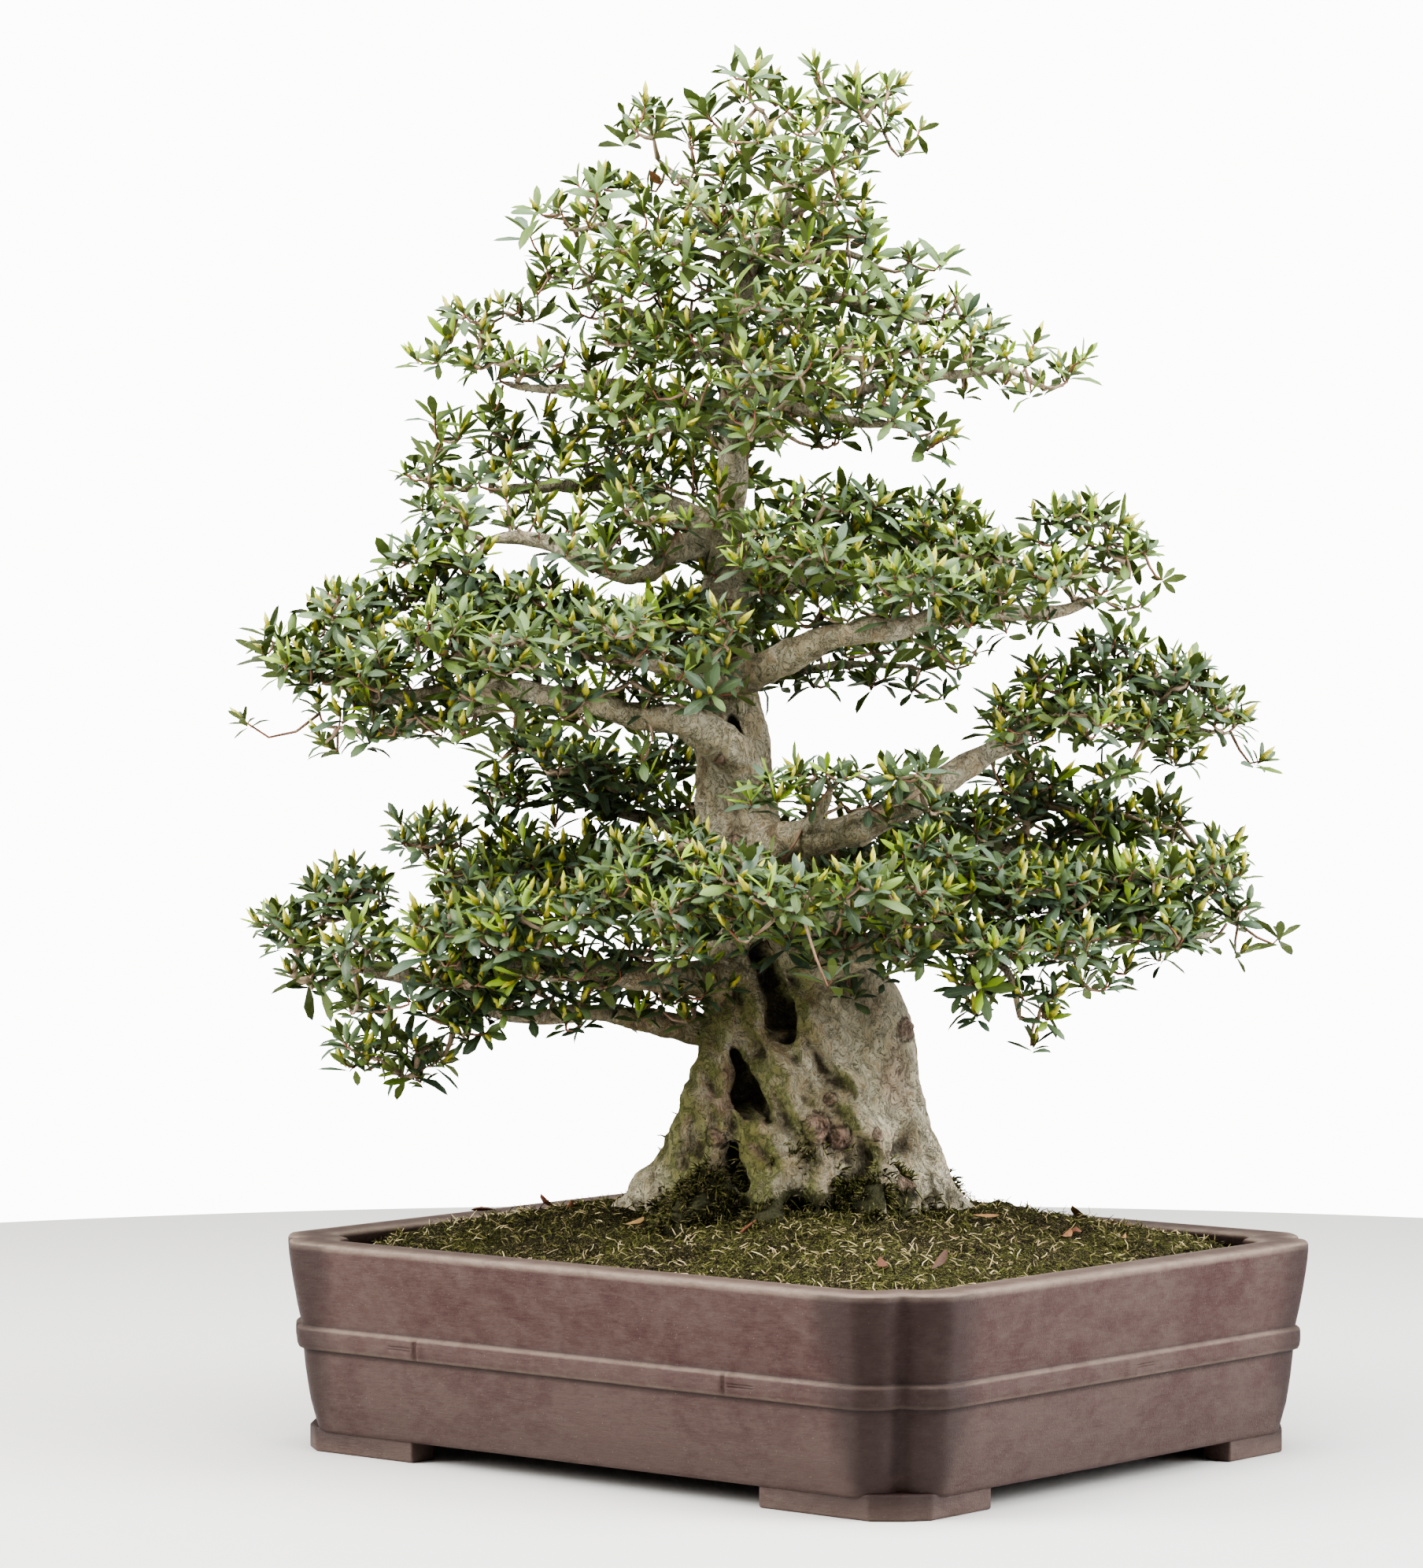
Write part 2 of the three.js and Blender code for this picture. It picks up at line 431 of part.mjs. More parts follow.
function potFoot(sx, sy) {
  const [x, y] = [POT.length / 2 - FOOT.inset, POT.depth / 2 - FOOT.inset];
  const inner = FOOT.cut + FOOT.thickness * 0.4;
  const points = [
    [x - FOOT.alongX, y], [x - FOOT.cut, y], [x, y - FOOT.cut], [x, y - FOOT.alongY],
    [x - FOOT.thickness, y - FOOT.alongY], [x - FOOT.thickness, y - inner],
    [x - inner, y - FOOT.thickness], [x - FOOT.alongX, y - FOOT.thickness],
  ];
  const shape = new THREE.Shape(points.map(([px, py]) => new THREE.Vector2(sx * px, sy * py)));
  return solidOf(new THREE.ExtrudeGeometry(shape, { depth: FOOT.height + 2, bevelEnabled: false }));
}

// One swelling of a bamboo-like joint in the band: a low truncated wedge that faces -Y.
function bandSwelling(offset) {
  const { middle, height, width, proud } = BAND_JOINT;
  const rings = [[8, 1], [0, 1], [-proud, 0.72]].map(([y, share]) => {
    const [w, h] = [(width / 2) * share, (height / 2) * share];
    return [[-w, -h], [w, -h], [w, h], [-w, h]]
      .map(([x, z]) => new THREE.Vector3(x + offset, y, z + middle));
  });
  return loft(rings);
}

function bandJoint(turn, x) {
  const reach = Math.abs(Math.cos(turn)) > 0.5 ? POT.depth / 2 : POT.length / 2;
  const spacing = (BAND_JOINT.width + BAND_JOINT.notch) / 2;
  return [-spacing, spacing].map((side) => (
    bandSwelling(x + side).translate([0, 5.4 - reach, 0]).rotate([0, 0, THREE.MathUtils.radToDeg(turn)])
  ));
}

function makePot() {
  const body = loft(POT_WALL.map(([z, inset]) => potOutline(inset, z)));
  const feet = [[1, 1], [-1, 1], [-1, -1], [1, -1]].map(([sx, sy]) => potFoot(sx, sy));
  const places = [-BAND_JOINTS_X, BAND_JOINTS_X];
  const joints = [0, Math.PI].flatMap((turn) => places.flatMap((x) => bandJoint(turn, x)));
  joints.push(...[Math.PI / 2, -Math.PI / 2].flatMap((turn) => bandJoint(turn, 0)));
  const hollow = loft(POT_HOLLOW.map(([z, inset]) => potOutline(inset, z)));
  return wasm.Manifold.union([body, ...feet, ...joints]).subtract(hollow)
    .subtract(drainHole(-DRAIN.x)).subtract(drainHole(DRAIN.x));
}

function drainHole(x) {
  const hole = new THREE.CylinderGeometry(DRAIN.radius, DRAIN.radius, 4 * POT.floorTop, 16);
  hole.rotateX(Math.PI / 2);
  hole.translate(x, 0, 0);
  return solidOf(hole);
}

function box(width, depth, height, x, y, z) {
  const geometry = new THREE.BoxGeometry(width, depth, height);
  geometry.translate(x, y, z);
  return solidOf(geometry);
}

function makeDrainScreen(x) {
  const { screen, screenThickness, mesh, bar } = DRAIN;
  const z = POT.floorTop + GAP + screenThickness / 2;
  const step = (mesh + bar) / 2;
  const holes = [-step, step].flatMap((dx) => [-step, step].map((dy) => (
    box(mesh, mesh, 3 * screenThickness, x + dx, dy, z)
  )));
  return box(screen, screen, screenThickness, x, 0, z).subtract(wasm.Manifold.union(holes));
}

// The soil fills the pot over the drain screens and mounds up to the trunk.
function makeSoil(rootBall) {
  const floor = POT.floorTop + DRAIN.screenThickness + 2 * GAP;
  const below = [[floor, 29 + GAP], [70, 20 + GAP], [POT.height - POT.lipThickness - 1.5, 13 + GAP + 0.4]]
    .map(([z, inset]) => potOutline(inset, z));
  const lip = POT.lip + GAP;
  const mound = SOIL_SLOPE.map(([share, z]) => potOutline(lip, z, share));
  const top = [new THREE.Vector3(0, 0, SOIL_TOP)];
  const throat = potOutline(lip, POT.height - POT.lipThickness - GAP - 0.2);
  return loft([...below, throat, ...mound, top]).subtract(rootBall);
}

// ---------------------------------------------------------------- trunk

// One ring of the trunk, ribbed below where its roots run up into it.
function trunkRing([z, x, y, width, depth], sides, grow) {
  return Array.from({ length: sides }, (_, j) => {
    const angle = (2 * Math.PI * j) / sides;
    const fade = Math.max(0, 1 - (z - 140) / (FLUTE.top - 140));
    let rib = -0.35;
    for (const [direction] of ROOTS) {
      const turn = THREE.MathUtils.radToDeg(angle) - direction;
      const away = THREE.MathUtils.euclideanModulo(turn + 180, 360) - 180;
      rib += Math.exp(-((away / FLUTE.spread) ** 2));
    }
    const swell = 1 + FLUTE.depth * fade * rib;
    return new THREE.Vector3(
      x + (width / 2 * swell + grow) * Math.cos(angle),
      y + (depth / 2 * swell + grow) * Math.sin(angle),
      z,
    );
  });
}

function surfaceRoot([direction, reach, thickness], grow) {
  const angle = THREE.MathUtils.degToRad(direction);
  const [cx, cy] = [Math.cos(angle), Math.sin(angle)];
  const route = [[0.42, 214], [0.66, 184], [0.86, 164], [1, 150], [1.12, 134]];
  const curve = smoothCurve(route.map(([share, z]) => (
    new THREE.Vector3(cx * reach * share, cy * reach * share, z)
  )));
  return stem(curve, { base: thickness, tip: thickness * 0.42, sides: 5, steps: 3, grow });
}

function trunkFoot(grow = 0) {
  const base = loft(TRUNK_BASE.map((row) => trunkRing(row, 18, grow)));
  return wasm.Manifold.union([base, ...ROOTS.map((root) => surfaceRoot(root, grow))]);
}

function makeTrunk(limbs) {
  const shaft = loft(TRUNK_STEM.map((row) => trunkRing(row, 8, 0)));
  const wood = limbs.map(({ curve, base, tip, bare, sides }) => (
    stem(curve, { to: bare, base, tip, sides, steps: woodSteps(bare * curve.getLength() * 0.8) })
  ));
  const burrs = BURRS.map((burr) => ellipsoid(burr));
  const whole = wasm.Manifold.union([trunkFoot(), shaft, ...wood, ...burrs]);
  return HOLLOWS.reduce((solid, hollow) => solid.subtract(ellipsoid(hollow)), whole);
}

// ---------------------------------------------------------------- leaves, buds and sprays

// A leaf that springs from its root, widens, and bends down to its tip. It is V-shaped across, with
// its fold underneath. Face is the side that looks up.
function leafSolid(root, direction, face, length, grow = 0) {
  const side = face.clone().cross(direction).normalize();
  const middle = root.clone().addScaledVector(direction, length * LEAF.widest).addScaledVector(face, 0.9);
  const half = LEAF.width / 2 + grow;
  const widest = [
    middle.clone().addScaledVector(side, half).addScaledVector(face, LEAF.thickness / 2 + grow),
    middle.clone().addScaledVector(side, -half).addScaledVector(face, LEAF.thickness / 2 + grow),
    middle.clone().addScaledVector(face, -LEAF.thickness / 2 - grow),
  ];
  const tip = root.clone().addScaledVector(direction, length + grow)
    .addScaledVector(face, -LEAF.droop * length);
  return loft([[root], widest, [tip]]);
}

// A whorl of leaves joined at its middle, each folded along its rib. It stands on an axis, on a
// short stalk that is sunk below its root.
function whorlSolid(root, axis, leaves, grow = 0) {
  const side = anySideOf(axis);
  const other = axis.clone().cross(side);
  const half = LEAF.width / 2 + grow;
  const outward = (angle) => side.clone().multiplyScalar(Math.cos(angle))
    .addScaledVector(other, Math.sin(angle));
  const rim = leaves.flatMap(({ turn, lift, length }, i) => {
    const next = leaves[(i + 1) % leaves.length].turn + (i + 1 === leaves.length ? 2 * Math.PI : 0);
    const along = (share) => root.clone()
      .addScaledVector(outward(turn), length * share * Math.cos(lift))
      .addScaledVector(axis, length * share * Math.sin(lift));
    const across = outward(turn + Math.PI / 2);
    const widest = along(LEAF.widest).addScaledVector(axis, LEAF.fold);
    return [
      widest.clone().addScaledVector(across, -half),
      along(1 + grow / length),
      widest.clone().addScaledVector(across, half),
      root.clone().addScaledVector(outward((turn + next) / 2), LEAF.ring),
    ];
  });
  const under = root.clone().addScaledVector(axis, -LEAF.thickness - grow);
  const stalk = [0, 1, 2].map((i) => {
    const turn = leaves[0].turn + (i * 2 * Math.PI) / 3;
    return under.clone().addScaledVector(outward(turn), LEAF.stalk + grow);
  });
  const foot = root.clone().addScaledVector(axis, -LEAF.sunk);
  return loft([[foot], stalk, rim, [root.clone().addScaledVector(axis, LEAF.thickness + grow)]]);
}

function budSolid(root, direction, grow = 0) {
  const side = anySideOf(direction);
  const middle = root.clone().addScaledVector(direction, BUD.length * 0.45);
  const ring = ringAbout(middle, side, direction.clone().cross(side), BUD.width / 2 + grow, 3);
  return loft([[root], ring, [root.clone().addScaledVector(direction, BUD.length + 3 + grow)]]);
}

function anySideOf(direction) {
  const helper = Math.abs(direction.z) < 0.9 ? new THREE.Vector3(0, 0, 1) : new THREE.Vector3(1, 0, 0);
  return helper.cross(direction).normalize();
}

const UP = new THREE.Vector3(0, 0, 1);

// The pieces of wood and leaf that are already placed, each with the node that it belongs to.
const placed = [];

function place(node, solid) {
  placed.push({ node, solid, box: solid.boundingBox() });
  return solid;
}

function apart(a, b) {
  return [0, 1, 2].some((k) => a.min[k] > b.max[k] || b.min[k] > a.max[k]);
}

// Whether a solid keeps clear of every piece of the other nodes.
function isClear(node, solid) {
  const box = solid.boundingBox();
  return placed.every((other) => (
    other.node === node || apart(box, other.box) || solid.intersect(other.solid).isEmpty()
  ));
}

// The core of a pad: the fan of twigs that spreads from the spray's wood to the pad, as one rough
// faceted cone with a low crown. It is slimmer the further it reaches, and a small pad's core is no
// more than a twig. It is tried from several places along the wood, and made smaller where its
// neighbours leave less room.
function growCore(spray, [x, y, z, radius, height], random) {
  const small = radius < CORE.smallestPad;
  const middle = new THREE.Vector3(x, y, z - height * CORE.drop);
  const distance = woodAt(spray, nearestShare(spray, middle)).distanceTo(middle);
  const across = small ? CORE.twig : radius * CORE.radius * Math.min(1, CORE.reach / distance);
  const first = random() * 2 * Math.PI;
  const stretches = Array.from({ length: CORE.sides }, () => 1 + CORE.rough * (random() - 0.5));
  for (const share of small ? [1] : CORE.sizes) {
    for (const along of [nearestShare(spray, middle), ...CORE.otherRoots]) {
      const wood = woodAt(spray, along);
      const axis = middle.clone().sub(wood).normalize().add(UP).normalize();
      const side = anySideOf(axis);
      const other = axis.clone().cross(side);
      const foot = wood.clone().addScaledVector(wood.clone().sub(middle).normalize(), CORE.sunk);
      const crown = middle.clone().addScaledVector(axis, height * CORE.height * share);
      const core = (grow) => {
        const ring = stretches.map((stretch, i) => {
          const turn = first + (2 * Math.PI * i) / CORE.sides;
          const reach = across * share * stretch + grow;
          return middle.clone()
            .addScaledVector(side, reach * Math.cos(turn))
            .addScaledVector(other, reach * Math.sin(turn));
        });
        return loft([[foot], ring, [crown.clone().addScaledVector(axis, grow)]]);
      };
      if (isClear(spray.name, core(2 * GAP))) {
        place(spray.name, core(0));
        return { middle, crown, axis, across: across * share };
      }
    }
  }
  return null;
}

// A point on the axis of a spray's wood, which runs straight between its steps.
function woodAt({ curve, from, steps }, share) {
  const step = Math.min(Math.floor(share * steps), steps - 1);
  const ends = [step, step + 1].map((i) => curve.getPointAt(from + (1 - from) * (i / steps)));
  return ends[0].lerp(ends[1], share * steps - step);
}

function nearestShare(spray, target) {
  const shares = Array.from({ length: 15 }, (_, i) => 0.04 + (0.96 * i) / 14);
  const distance = (share) => woodAt(spray, share).distanceTo(target);
  return shares.reduce((best, share) => (distance(share) < distance(best) ? share : best));
}

// The pads that get wood of their own: those that no larger pad beside them carries.
function roomyPads(pads) {
  const kept = [];
  for (const pad of [...pads].sort((a, b) => b[3] - a[3])) {
    const crowded = kept.some((other) => (
      vector(pad).distanceTo(vector(other)) < CROWDED * (pad[3] + other[3])
    ));
    if (!crowded) kept.push(pad);
  }
  return kept;
}

function leafLength(random) {
  return LEAF.length * (1 + LEAF.lengthSpread * (2 * random() - 1));
}

// The leaves of one whorl: their turns round the axis, their lifts above its plane, their lengths.
function whorlLeaves(count, lift, random) {
  const first = random();
  return Array.from({ length: count }, (_, i) => ({
    turn: (2 * Math.PI * (first + i + 0.22 * (random() - 0.5))) / count,
    lift: THREE.MathUtils.degToRad(lift + LEAF.liftSpread * random()),
    length: leafLength(random),
  }));
}

// A whorl on top of a pad's core, with a bud in some, and single leaves out of the core's sides.
function dressPad(spray, { middle, crown, axis, across }, random) {
  const root = crown.clone().addScaledVector(axis, LEAF.seat);
  for (const lift of LEAF.lifts) {
    const leaves = whorlLeaves(across < CORE.wide ? LEAF.whorl : LEAF.wideWhorl, lift, random);
    if (isClear(spray.name, whorlSolid(root, axis, leaves, GAP))) {
      place(spray.name, whorlSolid(root, axis, leaves));
      break;
    }
  }
  if (random() < BUD.share && isClear(spray.name, budSolid(root, axis, GAP))) {
    place(spray.name, budSolid(root, axis));
  }
  if (across < CORE.wide) return;
  const first = random() * 2 * Math.PI;
  for (let i = 0; i < LEAF.onSides; i++) {
    const turn = first + (2 * Math.PI * i) / LEAF.onSides + 0.6 * (random() - 0.5);
    const rise = THREE.MathUtils.degToRad(LEAF.sideRise * (random() - 0.3));
    const away = new THREE.Vector3(Math.cos(turn), Math.sin(turn), 0);
    const direction = away.clone().multiplyScalar(Math.cos(rise)).addScaledVector(UP, Math.sin(rise));
    const face = UP.clone().multiplyScalar(Math.cos(rise)).addScaledVector(away, -Math.sin(rise));
    const foot = middle.clone().addScaledVector(away, across * CORE.rooting);
    const length = leafLength(random);
    if (isClear(spray.name, leafSolid(foot, direction, face, length, GAP))) {
      place(spray.name, leafSolid(foot, direction, face, length));
    }
  }
}

function growSprays(limbs) {
  const random = seededRandom(2903);
  limbs.forEach((spray) => place(spray.name, stem(spray.curve, spray)));
  const grown = limbs.map((spray) => roomyPads(spray.pads)
    .map((pad) => growCore(spray, pad, random)).filter((pad) => pad));
  limbs.forEach((spray, i) => grown[i].forEach((pad) => dressPad(spray, pad, random)));
  return limbs.map(({ name }) => oneBody(wasm.Manifold.union(
    placed.filter((piece) => piece.node === name).map((piece) => piece.solid),
  )));
}

// ---------------------------------------------------------------- assembly

const CLAY = new THREE.MeshStandardMaterial({ color: 0x7a625d, roughness: 0.82, metalness: 0 });
const SOIL = new THREE.MeshStandardMaterial({ color: 0x57512f, roughness: 0.97, metalness: 0 });
const MESH = new THREE.MeshStandardMaterial({ color: 0x22262a, roughness: 0.6, metalness: 0 });
const BARK = new THREE.MeshStandardMaterial({ color: 0xa3947d, roughness: 0.9, metalness: 0 });
const LEAVES = new THREE.MeshStandardMaterial({ color: 0x5c6b45, roughness: 0.55, metalness: 0 });

const limbs = LIMBS.map((limb) => {
  const curve = smoothCurve(limb.route.map(vector));
  const from = limb.bare + GAP / curve.getLength();
  return {
    ...limb,
    name: `spray_${limb.name}`,
    curve,
    from,
    steps: woodSteps((1 - from) * curve.getLength()),
    sides: limb.base > 8 ? 5 : 4,
  };
});

const trunk = place('trunk', oneBody(makeTrunk(limbs)));
const sprays = growSprays(limbs);
const rootBall = trunkFoot(GAP + 0.1).rotate([0, 0, THREE.MathUtils.radToDeg(TREE_TURN)]);

const plant = new THREE.Group();
plant.rotation.z = TREE_TURN;
plant.add(meshOf('trunk', trunk, BARK));
sprays.forEach((solid, i) => plant.add(meshOf(limbs[i].name, solid, LEAVES)));

const bonsai = new THREE.Group();
bonsai.add(
  meshOf('pot', oneBody(makePot()), CLAY),
  meshOf('drain_screen_left', makeDrainScreen(-DRAIN.x), MESH),
  meshOf('drain_screen_right', makeDrainScreen(DRAIN.x), MESH),
  meshOf('soil', oneBody(makeSoil(rootBall)), SOIL),
  plant,
);

// The origin is the middle of the whole object's footprint, at the height of the feet.
bonsai.updateMatrixWorld(true);
const bounds = new THREE.Box3().setFromObject(bonsai, true);
const middle = bounds.getCenter(new THREE.Vector3());
bonsai.position.set(-middle.x, -middle.y, -bounds.min.z);

export default bonsai;
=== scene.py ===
"""Satsuki azalea bonsai in a rectangular clay pot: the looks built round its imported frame.

Tables are in millimetres. The tree's are [right, away, up], in a frame turned by TREE_TURN about
Z, and the pot's have X along its long side. Both start from the middle of the pot's footprint.
Settings and meshes are in metres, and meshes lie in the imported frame.
"""

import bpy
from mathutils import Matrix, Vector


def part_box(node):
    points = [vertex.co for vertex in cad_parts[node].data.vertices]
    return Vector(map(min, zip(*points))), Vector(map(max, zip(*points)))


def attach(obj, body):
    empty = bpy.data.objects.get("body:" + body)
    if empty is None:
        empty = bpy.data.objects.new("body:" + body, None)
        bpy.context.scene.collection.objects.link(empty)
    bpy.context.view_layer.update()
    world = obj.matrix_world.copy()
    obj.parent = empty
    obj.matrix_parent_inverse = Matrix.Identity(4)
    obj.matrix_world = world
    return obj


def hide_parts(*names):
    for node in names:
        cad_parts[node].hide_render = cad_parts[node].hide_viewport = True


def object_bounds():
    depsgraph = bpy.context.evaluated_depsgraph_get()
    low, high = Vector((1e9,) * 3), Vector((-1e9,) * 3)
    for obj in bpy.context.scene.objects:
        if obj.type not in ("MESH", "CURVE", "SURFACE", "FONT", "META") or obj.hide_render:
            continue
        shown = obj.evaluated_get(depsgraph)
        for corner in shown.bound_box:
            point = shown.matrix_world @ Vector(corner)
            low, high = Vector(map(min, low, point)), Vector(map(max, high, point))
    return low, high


bl_info = {
    "name": "Satsuki Azalea Bonsai",
    "version": (1, 0, 0),
    "blender": (4, 5, 0),
    "location": "View3D > Sidebar > Bonsai",
    "description": "Dresses the frame of a satsuki azalea bonsai: pot, soil, moss, trunk, twigs, leaves",
    "category": "Add Mesh",
}

import math
from typing import NamedTuple

import bmesh
import bpy
import numpy as np
from mathutils import Vector
from mathutils.bvhtree import BVHTree

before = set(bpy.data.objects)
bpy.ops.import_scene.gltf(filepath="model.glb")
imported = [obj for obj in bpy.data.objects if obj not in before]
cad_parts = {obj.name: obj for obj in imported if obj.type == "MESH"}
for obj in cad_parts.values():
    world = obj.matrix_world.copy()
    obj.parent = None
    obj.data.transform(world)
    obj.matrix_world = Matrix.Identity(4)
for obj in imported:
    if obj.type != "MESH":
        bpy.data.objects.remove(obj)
CAD_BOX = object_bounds()

# ------------------------ sizes, tables and the view

MM = 0.001
TREE_TURN = math.radians(39.8)
POT_LOW, POT_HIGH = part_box("pot")
POT_MIDDLE = np.array([(POT_LOW.x + POT_HIGH.x) / 2, (POT_LOW.y + POT_HIGH.y) / 2, 0])
POT_LENGTH = (POT_HIGH.x - POT_LOW.x) / MM
POT_DEPTH = (POT_HIGH.y - POT_LOW.y) / MM
POT_HEIGHT = POT_HIGH.z / MM

# the pot's outer wall, from the foot of the wall to the rim: height and inset from the rim
WALL = [
    (13.5, 19.0), (14.2, 17.6), (16.5, 16.5), (34, 12.4), (52, 10), (68.6, 8.5), (69.2, 7.4),
    (69.9, 5.7), (72, 4.9), (76.5, 4.5), (81.6, 4.6), (82.8, 4.9), (83.5, 5.7), (83.9, 6.8),
    (85, 7.3), (97, 5), (110, 2.9), (120, 1.5), (128, 0.6), (135, 0.1), (138.4, 0.1),
]
RIM_OUTER_EDGE = [(139.6, 0.5), (140.3, 1.5)]
RIM_CROWN = 1.6  # how much the rim's top rises in its middle
LIP = 30  # width of the inward lip
HOLLOW = [(130, 15), (118, 14), (70, 20), (26, 29)]
CUT = 44  # length taken off each side at a cut corner
LOBE = 2.4  # how far the two lobes of a cut corner swell
CREASE = 5.4  # depth of the crease between them
CREASE_WIDTH = 6.5
JOINT_X = 130  # places of the two joints in the band on each long side; a short side has one
FOOT_HEIGHT = 13.5
FOOT_INSET = 19
DRAIN_X = 118
DRAIN_RADIUS = 16
SOIL_FLOOR = 28
SOIL_SLOPE = [(0, 168), (0.3, 165), (0.5, 158), (0.78, 145), (0.88, 138), (0.95, 131), (1, 126)]

# trunk: height, place [right, away], width and depth
TRUNK_BASE = [
    (112, 2, 0, 176, 160), (145, 2, 0, 202, 184), (183, 2, -2, 186, 166), (220, 5, -2, 158, 142),
    (257, 10, -3, 142, 124), (283, 10, -2, 136, 116), (310, 4, 0, 122, 104), (338, -10, 0, 96, 88),
]
TRUNK_STEM = [
    (300, 6, 0, 100, 92), (338, -10, 0, 94, 86), (367, -24, 0, 74, 68), (398, -34, 0, 59, 56),
    (430, -39, 0, 54, 52), (475, -42, 0, 52, 49), (518, -48, 0, 42, 40), (550, -46, 0, 33, 32),
    (600, -47, 0, 26, 26), (643, -42, 0, 21, 21), (700, -43, 0, 16, 16), (753, -38, 0, 13, 13),
    (779, -31, 0, 11.5, 11.5), (802, -15, 0, 9.5, 9.5), (825, -6, 0, 8, 8), (842, -4, 0, 6, 6),
]
ROOTS = [  # direction in degrees, reach from the axis, thickness at the shoulder
    (184, 120, 19), (222, 112, 17), (262, 104, 15), (306, 112, 17), (348, 122, 19), (38, 110, 18),
    (110, 108, 18), (236, 92, 12), (288, 96, 11), (330, 100, 12), (150, 112, 14), (72, 104, 13),
]
MAIN_ROOTS = 7  # the first of them, which run on up the trunk as ribs
ROOT_BEND = 6  # how far a root strays from its direction at most
ROOT_FALL = [(0.3, 252), (0.5, 216), (0.7, 184), (0.86, 162), (1.0, 148), (1.12, 132)]
FLUTE_DEPTH = 0.11
FLUTE_SPREAD = 17
FLUTE_TOP = 300
# ridges of old wood that run up the trunk: points along each, then its radius at foot and head
RIDGES = [
    ([(-84, -26, 158), (-64, -34, 212), (-46, -32, 262), (-40, -22, 312), (-38, -14, 352)], 20, 17),
    ([(-50, -58, 160), (-40, -56, 196), (-46, -44, 238), (-52, -30, 270)], 14, 9),
    ([(6, -70, 160), (8, -66, 200), (-4, -56, 240), (-18, -46, 276), (-12, -36, 318)], 20, 12),
    ([(60, -58, 160), (46, -58, 205), (34, -50, 250), (16, -42, 296), (-2, -34, 336)], 22, 14),
    ([(92, -20, 158), (76, -28, 205), (64, -26, 252), (48, -18, 300), (20, -14, 345)], 20, 13),
    ([(84, 34, 158), (66, 36, 215), (48, 30, 270), (20, 22, 330)], 22, 14),
    ([(20, 82, 158), (10, 66, 215), (6, 52, 275), (-8, 36, 335)], 22, 13),
    ([(-58, 56, 158), (-44, 48, 215), (-34, 38, 275), (-26, 26, 335)], 21, 13),
]
# carved hollows, each a chain of places [right, away, up] with half sizes
HOLLOWS = [
    [(-28, -47, 330, 4, 17, 7), (-23, -52, 318, 8, 21, 12), (-16, -56, 303, 9, 22, 13),
     (-9, -59, 290, 7, 20, 11), (-5, -60, 281, 4, 16, 6)],
    [(-42, -53, 265, 4, 15, 7), (-38, -56, 253, 7, 20, 10), (-33, -60, 240, 10, 21, 12),
     (-26, -63, 229, 9, 17, 8), (-20, -65, 224, 5, 14, 6)],
    [(-41, -70, 204, 4, 14, 6), (-38, -72, 193, 6, 16, 9), (-34, -74, 184, 4, 12, 6)],
    [(-40, -28, 472, 5, 11, 7), (-42, -26, 483, 4, 9, 6)],
    [(-66, -24, 507, 4, 9, 6), (-67, -24, 512, 3, 8, 4)],
    [(88, -56, 184, 7, 13, 9), (78, -63, 176, 5, 11, 6)],
    [(14, -76, 168, 9, 14, 8), (-4, -80, 163, 15, 15, 8), (-18, -80, 160, 8, 13, 5)],
    [(-18, 56, 264, 8, 18, 14), (-14, 54, 246, 6, 15, 10)],
    [(50, 50, 216, 8, 15, 10), (46, 54, 204, 5, 12, 7)],
]
# valleys between the muscles of the trunk: route [right, up], half width, depth, on the front if True
FURROWS = [
    ([(-20, 336), (-8, 300), (-26, 270), (-36, 236), (-46, 206), (-38, 160)], 10, 6.5, True),
    ([(-32, 240), (-10, 226), (6, 204), (0, 164)], 9, 5.5, True),
    ([(-4, 296), (10, 268), (30, 246), (54, 230), (66, 204)], 6, 3.6, True),
    ([(-6, 272), (6, 250), (4, 232)], 5, 3, True),
    ([(48, 204), (34, 186), (26, 156)], 9, 5, True),
    ([(72, 212), (66, 188), (62, 156)], 7, 4, True),
    ([(-66, 222), (-66, 190), (-60, 156)], 8, 4.5, True),
    ([(-40, 420), (-30, 380), (-34, 350)], 6, 3, True),
    ([(-14, 330), (-16, 264), (-8, 210), (-16, 156)], 10, 6, False),
    ([(24, 300), (40, 240), (48, 160)], 9, 5, False),
    ([(-44, 290), (-52, 220), (-60, 160)], 9, 5, False),
]
KNOTS = [  # ringed knots where old shoots were cut: place [right, up], radius, on the front if True
    (13, 219, 10, True), (28, 213, 8, True), (53, 215, 4.5, True), (22, 238, 4.5, True),
    (75, 281, 8, True), (-54, 212, 6, True), (74, 182, 8, True),
    (-40, 404, 5, True), (-28, 436, 4, True), (-50, 458, 4, True), (-44, 560, 4, True),
    (30, 236, 9, False), (-34, 216, 8, False), (6, 286, 7, False), (-34, 420, 5, False),
]
# where no leaves grow in front of bare wood or of a gap: ranges to the right and up
CLEARINGS = [
    (-30, 62, 508, 544), (-72, -28, 446, 494), (-12, 52, 398, 428), (92, 130, 438, 466),
    (-4, 124, 462, 510), (-21, 50, 644, 668), (-92, -58, 624, 666), (-188, -70, 226, 284),
]

